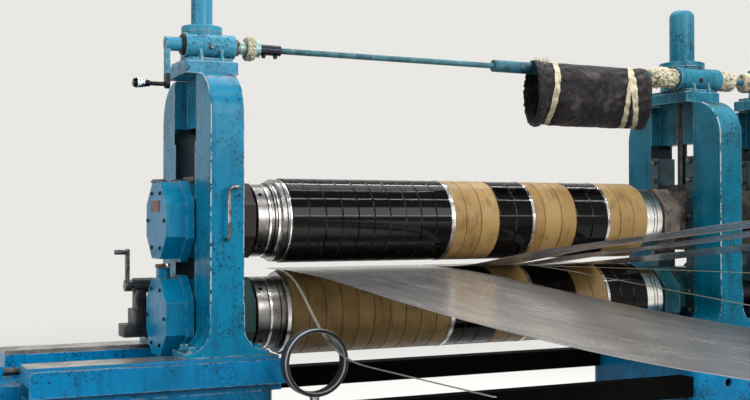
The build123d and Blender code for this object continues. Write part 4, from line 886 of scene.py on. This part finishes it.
across = add_node(ring_rule, "GeometryNodeTransform", {"Rotation": (0.0, math.pi / 2, 0.0)},
                  {"Geometry": band.outputs["Mesh"]})
width_of = add_node(ring_rule, "GeometryNodeInputNamedAttribute", {"Name": "ring_width"}, data_type="FLOAT")
lean_of = add_node(ring_rule, "GeometryNodeInputNamedAttribute", {"Name": "lean"}, data_type="FLOAT_VECTOR")
share = add_node(ring_rule, "ShaderNodeMath", {1: UNIT_W}, {0: width_of.outputs["Attribute"]},
                 operation="DIVIDE")
stretch = add_node(ring_rule, "ShaderNodeCombineXYZ", {"Y": 1.0, "Z": 1.0}, {"X": share.outputs[0]})
rings = add_node(ring_rule, "GeometryNodeInstanceOnPoints",
                 links={"Points": given["Geometry"], "Instance": across.outputs["Geometry"],
                        "Rotation": lean_of.outputs["Attribute"], "Scale": stretch.outputs["Vector"]})
end_rule(ring_rule, given, rings.outputs["Instances"])
print("ring rule", len(ring_rule.nodes), "nodes")

# %% [markdown]
# ## Filling the arbors
#
# Knives part the stack into four fields, and each field has its own set of rings between its two stations.
# Where the upper arbor has black rings the lower one has tan, so that a soft ring always presses the strip
# against a hard one. Widths are shares of a field, because a field is what an operator fills.

# %% Stack the rings
COLLAR_AT = IN_FACE - 0.255                        # the shaft's collar, where the stack ends
TOOLS_AT = OUT_FACE + UPPER_NUT[-1][1]             # the nut's inner face, where it starts
KNIFE_T, FIRST_KNIFE_T = 0.012, 0.016
SECOND_W, THIRD_W, LAST_W = 0.345, 0.347, 0.191    # widths of the fields behind each knife
KNIFE_3 = COLLAR_AT - LAST_W - KNIFE_T
KNIFE_2 = KNIFE_3 - THIRD_W - KNIFE_T
KNIFE_1 = KNIFE_2 - SECOND_W - FIRST_KNIFE_T
RING_SIZES = {"Outside": 0.305, "Bore": 0.1804, "Ease": 0.0028}
RING_GAP = {"black": 0.0006, "tan": 0.0016}        # the dark seam between two rings
COAT_OF = {"black": black_coat, "tan": tan_coat}
LEAN = 0.0018                                      # radians out of true, at most


def rims(start, end, shares):
    """The rims of the rings between two stations."""
    return [start + share * (end - start) for share in shares]


wide = rims(TOOLS_AT, KNIFE_1, [i / 10 for i in range(11)])
second = rims(KNIFE_1 + FIRST_KNIFE_T, KNIFE_2, [0, 0.142, 0.330, 0.565, 0.786, 1])
third = rims(KNIFE_2 + KNIFE_T, KNIFE_3, [0, 0.130, 0.357, 0.565, 0.787, 1])
last = rims(KNIFE_3 + KNIFE_T, COLLAR_AT, [0, 0.277, 0.623, 1])
fillings = ((wide, second[3:], third[3:]), (second[:4], third[:4], last))
chance = random.Random(7)
for arbor, axis_z, colours in (("upper", UPPER_Z, ("black", "tan")), ("lower", LOWER_Z, ("tan", "black"))):
    for colour_name, stacks in zip(colours, fillings):
        spans = [pair for stack in stacks for pair in zip(stack[:-1], stack[1:])]
        centres = [((a + b) / 2, 0.0, axis_z) for a, b in spans]
        widths = [b - a - RING_GAP[colour_name] for a, b in spans]
        leans = [(0.0, chance.uniform(-LEAN, LEAN), chance.uniform(-LEAN, LEAN)) for _ in spans]
        stack_piece = run_rule(f"{arbor}_{colour_name}_stack", ring_rule, centres, RING_SIZES,
                               COAT_OF[colour_name], f"{arbor}_arbor", f"{colour_name}_ring", smooth=12,
                               ring_width=widths, lean=leans)
        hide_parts(f"{arbor}_{colour_name}_rings")

# %% [markdown]
# ## Bolts and screws
#
# A hex head is a six-sided bar whose upper half tapers a little, on a round washer. The point's aim says
# which way the head faces, and a random turn about that axis keeps a row from looking stamped. The CAD
# model leaves bolts out, because eighty more small solids would slow every check of it.

# %% Rule for a bolt
bolt_rule, given = new_rule("hex_bolt", "Flats", "Head", "Washer", "Stud")
WASHER_T = 0.003
TAPERED = 0.86                                     # the head's top, as a share of its width
HEAD_SHARE, WASHER_SHARE = 0.62, 1.55              # usual height and washer, as shares of the flats
STUD_OUT = 0.001                                   # thread that stands out of the head
RANDOM_TURN = 1.05                                 # radians: a hexagon repeats every 60 degrees
corner = add_node(bolt_rule, "ShaderNodeMath", {1: 3 ** -0.5}, {0: given["Flats"]}, operation="MULTIPLY")
bar = add_node(bolt_rule, "GeometryNodeMeshCylinder", {"Vertices": 6, "Side Segments": 2},
               {"Radius": corner.outputs[0], "Depth": given["Head"]})
spot = add_node(bolt_rule, "GeometryNodeInputPosition")
parts_of = add_node(bolt_rule, "ShaderNodeSeparateXYZ", links={"Vector": spot.outputs[0]})
half_head = add_node(bolt_rule, "ShaderNodeMath", {1: 0.5}, {0: given["Head"]}, operation="MULTIPLY")
taper = add_node(bolt_rule, "ShaderNodeMapRange", {"From Min": 0.0, "To Min": 1.0, "To Max": TAPERED},
                 {"Value": parts_of.outputs["Z"], "From Max": half_head.outputs[0]})
shrink = add_node(bolt_rule, "ShaderNodeCombineXYZ", {"Z": 1.0},
                  {"X": taper.outputs["Result"], "Y": taper.outputs["Result"]})
shrunk = add_node(bolt_rule, "ShaderNodeVectorMath", links={0: spot.outputs[0], 1: shrink.outputs["Vector"]},
                  operation="MULTIPLY")
shaped = add_node(bolt_rule, "GeometryNodeSetPosition",
                  links={"Geometry": bar.outputs["Mesh"], "Position": shrunk.outputs[0]})
lift = add_node(bolt_rule, "ShaderNodeMath", {1: WASHER_T}, {0: half_head.outputs[0]}, operation="ADD")
lift_head = add_node(bolt_rule, "ShaderNodeCombineXYZ", links={"Z": lift.outputs[0]})
head = add_node(bolt_rule, "GeometryNodeTransform",
                links={"Geometry": shaped.outputs["Geometry"], "Translation": lift_head.outputs["Vector"]})
washer_r = add_node(bolt_rule, "ShaderNodeMath", {1: 0.5}, {0: given["Washer"]}, operation="MULTIPLY")
disc = add_node(bolt_rule, "GeometryNodeMeshCylinder", {"Vertices": 24, "Depth": WASHER_T},
                {"Radius": washer_r.outputs[0]})
washer = add_node(bolt_rule, "GeometryNodeTransform", {"Translation": (0, 0, WASHER_T / 2)},
                  {"Geometry": disc.outputs["Mesh"]})
stud_r = add_node(bolt_rule, "ShaderNodeMath", {1: 0.3}, {0: given["Flats"]}, operation="MULTIPLY")
pin = add_node(bolt_rule, "GeometryNodeMeshCylinder", {"Vertices": 16},
               {"Radius": stud_r.outputs[0], "Depth": given["Stud"]})
over_head = add_node(bolt_rule, "ShaderNodeMath", {1: WASHER_T}, {0: given["Head"]}, operation="ADD")
lift_stud = add_node(bolt_rule, "ShaderNodeCombineXYZ", links={"Z": over_head.outputs[0]})
stud = add_node(bolt_rule, "GeometryNodeTransform",
                links={"Geometry": pin.outputs["Mesh"], "Translation": lift_stud.outputs["Vector"]})
bolt = add_node(bolt_rule, "GeometryNodeJoinGeometry")
for shape in (stud, washer, head):
    bolt_rule.links.new(shape.outputs["Geometry"], bolt.inputs["Geometry"])
aim_of = add_node(bolt_rule, "GeometryNodeInputNamedAttribute", {"Name": "aim"}, data_type="FLOAT_VECTOR")
faced = add_node(bolt_rule, "FunctionNodeAlignRotationToVector",
                 links={"Vector": aim_of.outputs["Attribute"]})
spin = add_node(bolt_rule, "FunctionNodeRandomValue", {"Max": RANDOM_TURN}, {"Seed": given["Seed"]})
turn = add_node(bolt_rule, "FunctionNodeAxisAngleToRotation", {"Axis": (0, 0, 1)}, {"Angle": spin.outputs[1]})
turned = add_node(bolt_rule, "FunctionNodeRotateRotation",
                  links={"Rotation": faced.outputs[0], "Rotate By": turn.outputs[0]}, rotation_space="LOCAL")
bolts = add_node(bolt_rule, "GeometryNodeInstanceOnPoints",
                 links={"Points": given["Geometry"], "Instance": bolt.outputs["Geometry"],
                        "Rotation": turned.outputs[0]})
end_rule(bolt_rule, given, bolts.outputs["Instances"])


def bolt_set(name, places, aim, flats, body, slot, finish=bolt_steel, head=None, washer=None, seed=1):
    """A set of bolts on one body that face one way, by the size across their flats."""
    sizes = {"Flats": flats, "Head": head or flats * HEAD_SHARE, "Washer": washer or flats * WASHER_SHARE,
             "Stud": STUD_OUT, "Seed": seed}
    return run_rule(name, bolt_rule, places, sizes, finish, body, slot, aim=[aim] * len(places))


print("bolt rule", len(bolt_rule.nodes), "nodes")

# %% [markdown]
# ## Where the bolts are
#
# Six screws hold each octagon cover, eight bolts each housing's feet, and nine on each side the gibs that
# guide the chocks. Feet are painted with their housing, so their bolts have its enamel. Nuts that are
# turned often, as on the chock stop, stay bright.

# %% Places of the bolts
AWAY, FRONT, UP, DOWN = (-1, 0, 0), (0, -1, 0), (0, 0, 1), (0, 0, -1)
COVER_FACE, COVER_R = OUT_FACE - 0.102, 0.108      # six screws round each octagon cover
circle = [(math.cos(math.radians(60 * i)) * COVER_R, math.sin(math.radians(60 * i)) * COVER_R)
          for i in range(6)]
for chock_name, axis_z, body in (("upper", UPPER_Z, "outboard_chock"), ("lower", LOWER_Z, "outboard_stand")):
    places = [(COVER_FACE, y, axis_z + z) for y, z in circle]
    bolt_set(f"{chock_name}_cover_screws", places, AWAY, 0.010, body, "dark_iron", screw_iron, head=0.003,
             washer=0.0135)
FOOT_BOLT_X, FOOT_BOLTS_Y, FOOT_T = 0.111, (0.182, 0.272), 0.016


def foot_places(face):
    """The eight foot bolts of one housing."""
    mid = face + HOUSING_T / 2
    return [(mid + end * FOOT_BOLT_X, side * y, WAY_TOP + FOOT_T)
            for end in (-1, 1) for side in (-1, 1) for y in FOOT_BOLTS_Y]


bolt_set("outboard_foot_bolts", foot_places(OUT_FACE), UP, 0.027, "outboard_stand", "dark_iron", near_enamel,
         seed=3)
bolt_set("inboard_foot_bolts", foot_places(IN_FACE) + foot_places(DRIVE_FACE), UP, 0.027, "frame",
         "dark_iron", far_enamel, seed=4)
GIB_Y = 0.110
GIB_ROWS = (0.695, 0.616, 0.538, 0.459, 0.380, 0.301, 0.222, 0.143, 0.064)     # above the ways
gibs = [(face, side * GIB_Y, WAY_TOP + row)
        for face in (IN_FACE, DRIVE_FACE) for side in (-1, 1) for row in GIB_ROWS]
bolt_set("gib_screws", gibs, AWAY, 0.019, "frame", "dark_iron", head=0.010, washer=0.021, seed=5)
PLUG_X, PLUG_Z = 0.059, WORM_Z - 0.008
bolt_set("outboard_oil_plug", [(OUT_FACE + PLUG_X, WORM_Y - 0.0415, PLUG_Z)], FRONT, 0.014, "outboard_stand",
         "dark_iron", head=0.009, washer=0.017)
plugs = [(face + PLUG_X, WORM_Y - 0.0485, PLUG_Z) for face in (IN_FACE, DRIVE_FACE)]
bolt_set("inboard_oil_plugs", plugs, FRONT, 0.017, "frame", "dark_iron", head=0.010, washer=0.022)
nuts = [(OUT_FACE + x, 0.030, WAY_TOP + 0.281) for x in (-0.074, -0.052)]
bolt_set("chock_stop_nuts", nuts, UP, 0.0185, "outboard_stand", "polished_steel", bright_bolt_steel,
         head=0.010, washer=0.0205)
clamps = [(OUT_FACE + x, WORM_Y, WORM_Z - 0.0180) for x in (0.262, 0.306)]
bolt_set("clamp_screws", clamps, DOWN, 0.013, "cross_shaft", "coupling_steel", screw_iron, head=0.008,
         washer=0.017)
bolt_set("hoop_nut", [(OUT_FACE + 0.294, -0.470, WAY_TOP - 0.1195)], DOWN, 0.026, "frame", "polished_steel",
         bright_bolt_steel, head=0.014, washer=0.034)

# %% [markdown]
# ## Cloth sleeve
#
# A tube of tarred canvas hangs on the cross shaft, to keep it off the strip. It is soft, so it isn't a
# clean cylinder: tape draws it in, the cloth gathers beside each band, and folds run slantwise between
# them. A cloth simulation could drape it, but tape fixes nearly all of it. One function gives the cloth's
# surface at a place along it and a turn round it instead. The cloth, its rolled cuffs and the tape all use
# that function, so each lies on the one below. The ends are cut on a slant.

# %% Surface of the sleeve
CLOTH_R, CLOTH_IN = 0.1235, 0.122                  # to the middle of the cloth, and to its inside
TUBE_R, LIES_OFF = 0.0235, 0.0003                  # the tube that it hangs on, and a hair of air
SLEEVE_FROM, SLEEVE_TO = OUT_FACE + 1.390, OUT_FACE + 1.938
SKEW = math.tan(math.radians(21))                  # slant of its cut ends
HANG_Z = WORM_Z + TUBE_R + LIES_OFF - CLOTH_IN
# Tape bands: where each crosses the sleeve's top, front, bottom and back, from the outboard housing's face
TAPES = [[OUT_FACE + x for x in crossings] for crossings in (
    (1.492, 1.426, 1.452, 1.530), (1.866, 1.805, 1.886, 1.925), (1.872, 1.775, 1.830, 1.915))]
FOLD, CREASE, SLANT_FOLD = 0.0052, 0.0026, 0.0034  # heights of slow folds, creases and slanted folds
FOLD_L, SLANT_L = 0.075, 0.03                      # how long a slow fold and a slanted one are along X
REST_TURN = 0.34                                   # radians over which the cloth lies smooth on the tube
PINCH, PINCH_W = 0.0035, 0.026                     # how deep tape draws the cloth in, and over what width
GATHER, GATHER_W, GATHERS = 0.0020, 0.06, 17       # pleats beside the tape: height, width, number round


def tape_station(tape, turn):
    """Where a tape band's middle lies along X, at a turn round the sleeve: a smooth curve through four."""
    top, front, bottom, back = tape
    even = (top + front + bottom + back) / 4 + (top - bottom) / 2 * math.cos(turn)
    return even + (front - back) / 2 * math.sin(turn) + (top + bottom - front - back) / 4 * math.cos(2 * turn)


def cloth_point(x, turn, lift=0.0, folds=None):
    """The cloth's surface at a station along X and a turn from the top towards the front."""
    y_unit, z_unit = -math.sin(turn), math.cos(turn)
    spot = Vector((x / FOLD_L, y_unit * 1.9, z_unit * 1.9))
    fold = noise.noise(spot) * FOLD + noise.noise(spot * 2.7 + Vector((5, 0, 0))) * CREASE
    slant = Vector((x / SLANT_L + 2.4 * y_unit, y_unit * 1.1, z_unit * 5.0))
    fold += abs(noise.noise(slant)) * SLANT_FOLD - 0.0008
    for tape in TAPES:
        off = x - tape_station(tape, turn)
        near, wide = off / PINCH_W, off / GATHER_W
        fold -= PINCH * math.exp(-near * near)
        fold += GATHER * math.exp(-wide * wide) * math.sin(GATHERS * turn + 40 * x) * min(1.0, near * near)
    at_top = math.exp(-(math.remainder(turn, math.tau) / REST_TURN) ** 2)
    if folds is not None:
        folds.append(0.5 + fold / 0.012)
    radius = CLOTH_R + fold * (1 - at_top) + 0.0006 * at_top + lift
    return Vector((x, WORM_Y + radius * y_unit, HANG_Z + radius * z_unit))


print("sleeve", round(SLEEVE_TO - SLEEVE_FROM, 3), "m long, round a tube of", 2 * TUBE_R, "m")

# %% [markdown]
# ## A piece from its points
#
# The cloth, tape, nuts and plates are meshes whose points come from a formula. One function makes each into
# a piece, and another lists the faces of a grid that closes round itself, as the cloth and the tape do.

# %% Pieces from points
def finish_piece(name, points, faces, finish, body, smooth=180, raised=None):
    """Makes one mesh piece from its points and faces, gives it a finish, and lets it ride on a body."""
    mesh = bpy.data.meshes.new(name)
    mesh.from_pydata(points, [], faces)
    mesh.attributes.new("raised", "FLOAT", "POINT").data.foreach_set("value", raised or [0.5] * len(points))
    shell = bmesh.new()
    shell.from_mesh(mesh)
    bmesh.ops.recalc_face_normals(shell, faces=shell.faces)
    shell.to_mesh(mesh)
    shell.free()
    mesh.materials.append(finish)
    mesh.shade_smooth()
    if smooth < 180:
        mesh.set_sharp_from_angle(angle=math.radians(smooth))
    piece = bpy.data.objects.new(name, mesh)
    bpy.context.scene.collection.objects.link(piece)
    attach(piece, body)
    print(name, len(faces), "faces")
    return piece


def looped(rows, columns, closed_rows=False):
    """Quads of a grid that closes round its columns, and round its rows if asked."""
    last = rows if closed_rows else rows - 1
    return [(i * columns + j, i * columns + (j + 1) % columns, (i + 1) % rows * columns + (j + 1) % columns,
             (i + 1) % rows * columns + j) for i in range(last) for j in range(columns)]


# %% [markdown]
# ## Cloth
#
# The canvas is one grid, 150 rows along the sleeve and 200 points round it, fine enough for pleats of 45 mm.
# Its two end rows are ragged, as a knife leaves them. A modifier gives the sheet its thickness.

# %% Cloth
ALONG, ROUND = 150, 200
RAGGED, CLOTH_T = 0.0035, 0.0026
cloth_points, folds = [], []
for i in range(ALONG + 1):
    for j in range(ROUND):
        turn = math.tau * j / ROUND
        ragged = RAGGED * noise.noise(Vector((j * 0.21, i // ALONG * 9.0, 3.0)))
        middle = SLEEVE_FROM + (SLEEVE_TO - SLEEVE_FROM) * i / ALONG
        slant = -CLOTH_R * math.sin(turn) * SKEW
        end = ragged if i in (0, ALONG) else 0.0
        cloth_points.append(cloth_point(middle + slant + end, turn, folds=folds))
sleeve = finish_piece("cloth_sleeve", cloth_points, looped(ALONG + 1, ROUND), sleeve_cloth, "frame",
                      raised=folds)
thickness = sleeve.modifiers.new("cloth", "SOLIDIFY")
thickness.thickness = CLOTH_T
thickness.offset = 0.0
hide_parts("shaft_sleeve")

# %% [markdown]
# ## Cuffs and tape
#
# The canvas is turned back at both ends, and three bands of paper tape go round it. Each is a closed ring
# with thin edges, whose width wavers as hand-wound tape does. A painted stripe would look flat in the low
# light, and these have a real edge that catches it.

# %% Cuffs and tape
def band_on_cloth(name, station_of, finish, width, lift, thick, ragged, seed):
    """A flat band wound once round the sleeve, a closed ring with thin edges."""
    section = [(-0.5, 0.0), (-0.5, 0.5), (-0.42, 1.0), (-0.15, 1.25), (0.15, 1.1), (0.42, 1.0), (0.5, 0.5),
               (0.5, 0.0), (0.2, -0.2), (-0.2, -0.2)]
    points = []
    for j in range(ROUND):
        turn = math.tau * j / ROUND
        crumple = 1.0 + 0.22 * noise.noise(Vector((math.cos(turn) * 3, math.sin(turn) * 3, seed)))
        for across, out in section:
            edge = ragged * noise.noise(Vector((j * 0.3, across * 4, seed)))
            crease = 0.0006 * noise.noise(Vector((j * 0.5, across * 5 + seed, 1.0)))
            x = station_of(turn) + across * width * crumple + edge
            points.append(cloth_point(x, turn, lift + thick * out + crease))
    return finish_piece(name, points, looped(ROUND, len(section), True), finish, "frame")


def slanted(start):
    """A station that follows the sleeve's slanted ends."""
    return lambda turn: start - CLOTH_R * math.sin(turn) * SKEW


on_cloth = [
    band_on_cloth("near_cuff", slanted(SLEEVE_FROM + 0.0165), sleeve_cloth, width=0.034,
                  lift=0.0022, thick=0.0045, ragged=0.007, seed=1.0),
    band_on_cloth("far_cuff", slanted(SLEEVE_TO - 0.0135), sleeve_cloth, width=0.026,
                  lift=0.0018, thick=0.0022, ragged=0.004, seed=2.0),
]
TAPE_W, TAPE_UP, TAPE_T = 0.026, 0.0016, 0.0012
for number, tape in enumerate(TAPES):
    lift = TAPE_UP + (TAPE_T if number == 2 else 0.0)       # the last band lies over the one before
    on_cloth.append(band_on_cloth(f"tape_band_{number + 1}", lambda turn, tape=tape: tape_station(tape, turn),
                                  tape_cloth, TAPE_W, lift, TAPE_T, ragged=0.0016,
                                  seed=3.0 + number))

# %% [markdown]
# ## Frayed threads
#
# Where the cuff was cut, its threads stand up as a pale frizz. Each is a thin bent tube of four sides, which
# is enough for a thread of under 2 mm. Hair particles would do it too, but an export leaves them out.

# %% Frayed threads
THREADS, BENDS, THREAD_R = 46, 7, 0.0008
thread_points, thread_faces = [], []
fray = random.Random(11)
for number in range(THREADS):
    turn = fray.uniform(-0.35, 0.75)
    x = SLEEVE_FROM - CLOTH_R * math.sin(turn) * SKEW + fray.uniform(-0.004, 0.075)
    place = cloth_point(x, turn, 0.003)
    heading = Vector((fray.uniform(-0.6, 0.6), -math.sin(turn) * 0.7, math.cos(turn) * 0.9)).normalized()
    start = len(thread_points)
    length = fray.uniform(0.012, 0.032)
    for _ in range(BENDS):
        pull = Vector((fray.uniform(-1, 1), fray.uniform(-1, 1), fray.uniform(-0.8, 0.5)))
        heading = (heading + pull * 0.5).normalized()
        side = heading.orthogonal().normalized() * THREAD_R
        other = heading.cross(side)
        thread_points += [place + side, place + other, place - side, place - other]
        place = place + heading * length / BENDS
    ring = [start + k for k in range(4)]
    thread_faces += [tuple(reversed(ring)), tuple(k + 4 * (BENDS - 1) for k in ring)]
    thread_faces += [tuple(start + k for k in face) for face in looped(BENDS, 4)]
threads = finish_piece("frayed_threads", thread_points, thread_faces, tape_cloth, "frame")
on_cloth.append(threads)

# %% [markdown]
# ## Taped couplings
#
# Tape wound by hand builds up in lumps. A turned shape gives the coupling's steps, and its surface is
# pushed in and out by a ridged noise, more along the edges of the tape than between them. A displacement
# in the material would do the same in a render, but an export would lose it.

# %% Turned shapes with a rough skin
def lathe(profile, y, z, rough=0.0, size=0.02, around=64, seed=0.0):
    """A closed shape turned round X from (x, radius) pairs, with a rough skin: points, faces, heights."""
    points, faces, heights = [], [], []
    for x, radius in profile:
        for j in range(around):
            turn = math.tau * j / around
            spot = Vector((x / size, math.cos(turn) * radius / size, math.sin(turn) * radius / size + seed))
            lump = (abs(noise.noise(spot)) - 0.2) * rough + noise.noise(spot * 2.3) * rough * 0.5
            r = radius + lump
            points.append((x, y + r * math.cos(turn), z + r * math.sin(turn)))
            heights.append(0.5 + 0.8 * lump / rough if rough else 0.5)
    faces += looped(len(profile), around)
    faces.append(tuple(range(around)))
    faces.append(tuple((len(profile) - 1) * around + j for j in reversed(range(around))))
    return points, faces, heights


def steps_along(steps, pitch=0.004, round_off=0.004):
    """A profile of (x, radius) pairs from steps of (start, end, diameter), with rounded shoulders."""
    profile = []
    for start, end, diameter in steps:
        count = max(4, int((end - start) / pitch))
        for k in range(count + 1):
            x = start + (end - start) * k / count
            inset = min(x - start, end - x)
            drop = round_off * max(0.0, 1 - inset / round_off) ** 2
            profile.append((x, diameter / 2 - drop))
    return profile


def merged(*shapes):
    """Several shapes as one set of points, faces and heights."""
    points, faces, heights = [], [], []
    for new_points, new_faces, new_heights in shapes:
        start = len(points)
        points += new_points
        faces += [tuple(k + start for k in face) for face in new_faces]
        heights += new_heights
    return points, faces, heights


TUBE_END = IN_FACE - 0.192
lumpy_steps = steps_along([(TUBE_END, TUBE_END + 0.031, 0.060), (TUBE_END + 0.031, IN_FACE - 0.052, 0.078)],
                          pitch=0.003)
wraps = [lathe(lumpy_steps, WORM_Y, WORM_Z, rough=0.013, size=0.015, around=96)]
for start, end, diameter, seed in ((IN_FACE + 0.187, IN_FACE + 0.264, 0.084, 4.0),
                                   (DRIVE_FACE - 0.178, DRIVE_FACE - 0.060, 0.086, 8.0)):
    wraps.append(lathe(steps_along([(start, end, diameter)]), WORM_Y, WORM_Z, rough=0.005, seed=seed))
wrap_points, wrap_faces, wrap_heights = merged(*wraps)
wrap = finish_piece("crumpled_tape_wraps", wrap_points, wrap_faces, tape_cloth, "drive_shaft",
                    raised=wrap_heights)
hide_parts("taped_couplings")
flange_steps = steps_along([(OUT_FACE + 0.1935, OUT_FACE + 0.2245, 0.082)], pitch=0.0025)
flange_points, flange_faces, flange_heights = lathe(flange_steps, WORM_Y, WORM_Z, rough=0.009, size=0.010,
                                                    around=96, seed=12.0)
finish_piece("coupling_tape_wrap", flange_points, flange_faces, tape_cloth, "cross_shaft",
             raised=flange_heights)

# %% [markdown]
# ## Arbor nuts
#
# A round nut and its clamp rings close each stack of rings. They are turned, so they are turned here too:
# the lathe function takes a profile with grooves and eased shoulders, which mirror the lamps as bright
# rings. The holes for the pin spanner are drilled, four round the nut and six in its face, so a Boolean
# cuts them.

# %% Turned and drilled nuts
def eased_steps(steps, ease=0.0011):
    """A profile of (x, radius) pairs from (start, end, diameter) steps, two small facets on each corner."""
    profile = []
    for start, end, diameter in steps:
        r = diameter / 2
        profile += [(start, r - ease), (start + 0.3 * ease, r - 0.3 * ease), (start + ease, r),
                    (end - ease, r), (end - 0.3 * ease, r - 0.3 * ease), (end, r - ease)]
    return profile


def bare_object(name, points, faces):
    """An object that only helps to make a piece, such as a cutter."""
    mesh = bpy.data.meshes.new(name)
    mesh.from_pydata(points, [], faces)
    helper = bpy.data.objects.new(name, mesh)
    bpy.context.scene.collection.objects.link(helper)
    return helper


SPANNER_D, SPANNER_DEEP = 0.015, 0.016
FACE_HOLE_R, FACE_HOLE_D, FACE_HOLE_DEEP = 0.104, 0.018, 0.018


def drilled_nut(name, steps, axis_z, row_x, finish, body, node):
    """A turned nut with four radial holes and six in its face, which stands for a CAD node."""
    profile = eased_steps([(OUT_FACE + start, OUT_FACE + end, d) for start, end, d, _ in steps])
    blank = bare_object("nut_blank", *lathe(profile, 0.0, axis_z, around=128)[:2])
    centre = Vector((OUT_FACE + row_x, 0.0, axis_z))
    holes = []
    for k in range(4):
        out = Vector((0.0, math.cos(math.radians(45 + 90 * k)), math.sin(math.radians(45 + 90 * k))))
        holes.append((centre + out * steps[0][2] / 2, out, SPANNER_D, SPANNER_DEEP))
    for k in range(6):
        turn = math.radians(90 + 60 * k)
        y, z = FACE_HOLE_R * math.cos(turn), FACE_HOLE_R * math.sin(turn)
        place = Vector((OUT_FACE + steps[0][0], y, axis_z + z))
        holes.append((place, Vector((-1.0, 0.0, 0.0)), FACE_HOLE_D, FACE_HOLE_DEEP))
    drill = bmesh.new()
    for place, out, across, deep in holes:
        turned_to = Matrix.Translation(place) @ out.to_track_quat("Z", "X").to_matrix().to_4x4()
        bmesh.ops.create_cone(drill, cap_ends=True, segments=20, radius1=across / 2, radius2=across / 2,
                              depth=2 * deep, matrix=turned_to)
    cutter = bare_object("nut_drill", [tuple(v.co) for v in drill.verts],
                         [tuple(v.index for v in face.verts) for face in drill.faces])
    drill.free()
    cut = blank.modifiers.new("drill", "BOOLEAN")
    cut.operation, cut.solver, cut.object = "DIFFERENCE", "EXACT", cutter
    made = bpy.data.meshes.new_from_object(blank.evaluated_get(bpy.context.evaluated_depsgraph_get()))
    nut = finish_piece(name, [tuple(v.co) for v in made.vertices], [tuple(p.vertices) for p in made.polygons],
                       finish, body, smooth=20)
    for helper in (blank, cutter):
        bpy.data.objects.remove(helper)
    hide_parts(node)


drilled_nut("upper_turned_nut", UPPER_NUT, UPPER_Z, 0.243, upper_nut_steel, "upper_arbor", "upper_nut")
drilled_nut("lower_turned_nut", LOWER_NUT, LOWER_Z, 0.245, lower_nut_steel, "lower_arbor", "lower_nut")

# %% [markdown]
# ## Seal of the worm
#
# A dark rubber seal closes the worm housing round the crank's hub. It is a ring with a slanted lip, too
# small for the CAD model, so five points of its section are turned round the shaft.

# %% Seal
SEAL_R, HUB_R, SEAL_SIDES = 0.036, 0.0253, 48
ring_profile = [(OUT_FACE - 0.0375, HUB_R), (OUT_FACE - 0.0375, SEAL_R - 0.003), (OUT_FACE - 0.035, SEAL_R),
                (OUT_FACE - 0.0265, SEAL_R), (OUT_FACE - 0.0265, HUB_R)]
turns = [math.tau * j / SEAL_SIDES for j in range(SEAL_SIDES)]
seal_points = [(x, WORM_Y + r * math.cos(turn), WORM_Z + r * math.sin(turn))
               for x, r in ring_profile for turn in turns]
finish_piece("worm_seal", seal_points, looped(len(ring_profile), SEAL_SIDES, True), seal_rubber,
             "outboard_stand", smooth=40)

# %% [markdown]
# ## Nose of the guide ring
#
# The guide ring's front end is ground to a round nose, so that the trim slides over it without a scratch.
# Its inner and outer rims are painted bright, for wear and as a painted highlight, and the crown between
# them stays darker, so each point says how near a rim it is, and the paint follows that.

# %% Nose of the guide ring
HOOP_AT = Vector((OUT_FACE + 0.294, -0.490, WAY_TOP - 0.010))     # middle of the pipe's front end
NOSE_R, NOSE_OUT, NOSE_IN = 0.1025, 0.009, 0.0068
NOSE_ROUND, NOSE_SIDES = 120, 16
nose_points, nose_rim_highlight = [], []
for j in range(NOSE_ROUND):
    turn = math.tau * j / NOSE_ROUND
    for k in range(NOSE_SIDES):
        lean = math.tau * k / NOSE_SIDES
        r = NOSE_R + NOSE_IN * math.cos(lean)
        out = -NOSE_OUT * math.sin(lean)
        nose_points.append(HOOP_AT + Vector((r * math.cos(turn), out, r * math.sin(turn))))
        # Near a rim the paint turns to a painted highlight
        nose_rim_highlight.append(abs(math.cos(lean)))
finish_piece("guide_ring_nose", nose_points, looped(NOSE_ROUND, NOSE_SIDES, True), hoop_paint, "frame",
             raised=nose_rim_highlight)

# %% [markdown]
# ## Plates on the upper chock
#
# A bare plate is screwed on the chock's cover, and two shim plates lie on its top. A cube would do, but a
# sharp edge never catches light, so the edges are eased by a bevel that is cut into the mesh.

# %% Plates
def eased_block(name, low, high, ease, finish, body):
    """A block with eased edges, from its corners."""
    block = bmesh.new()
    bmesh.ops.create_cube(block, size=1.0)
    for corner_point in block.verts:
        corner_point.co = Vector([low[k] if corner_point.co[k] < 0 else high[k] for k in range(3)])
    bmesh.ops.bevel(block, geom=block.edges[:], offset=ease, segments=2, affect="EDGES")
    points = [tuple(v.co) for v in block.verts]
    faces = [tuple(v.index for v in face.verts) for face in block.faces]
    block.free()
    return finish_piece(name, points, faces, finish, body, smooth=50)


eased_block("blank_cover_plate", (OUT_FACE - 0.1042, -0.045, WAY_TOP + 0.475),
            (OUT_FACE - 0.1015, 0.064, WAY_TOP + 0.513), 0.0009, brown_primer, "outboard_chock")
# The chock's flat top, and the top of each shim plate
CHOCK_TOP, LONG_TOP, SHORT_TOP = UPPER_Z + 0.1311, UPPER_Z + 0.1381, UPPER_Z + 0.1431
eased_block("shim_plate_long", (OUT_FACE - 0.108, -0.006, CHOCK_TOP), (OUT_FACE - 0.060, 0.053, LONG_TOP),
            0.0008, bolt_steel, "outboard_chock")
eased_block("shim_plate_short", (OUT_FACE - 0.105, 0.004, LONG_TOP), (OUT_FACE - 0.066, 0.050, SHORT_TOP),
            0.0008, bolt_steel, "outboard_chock")
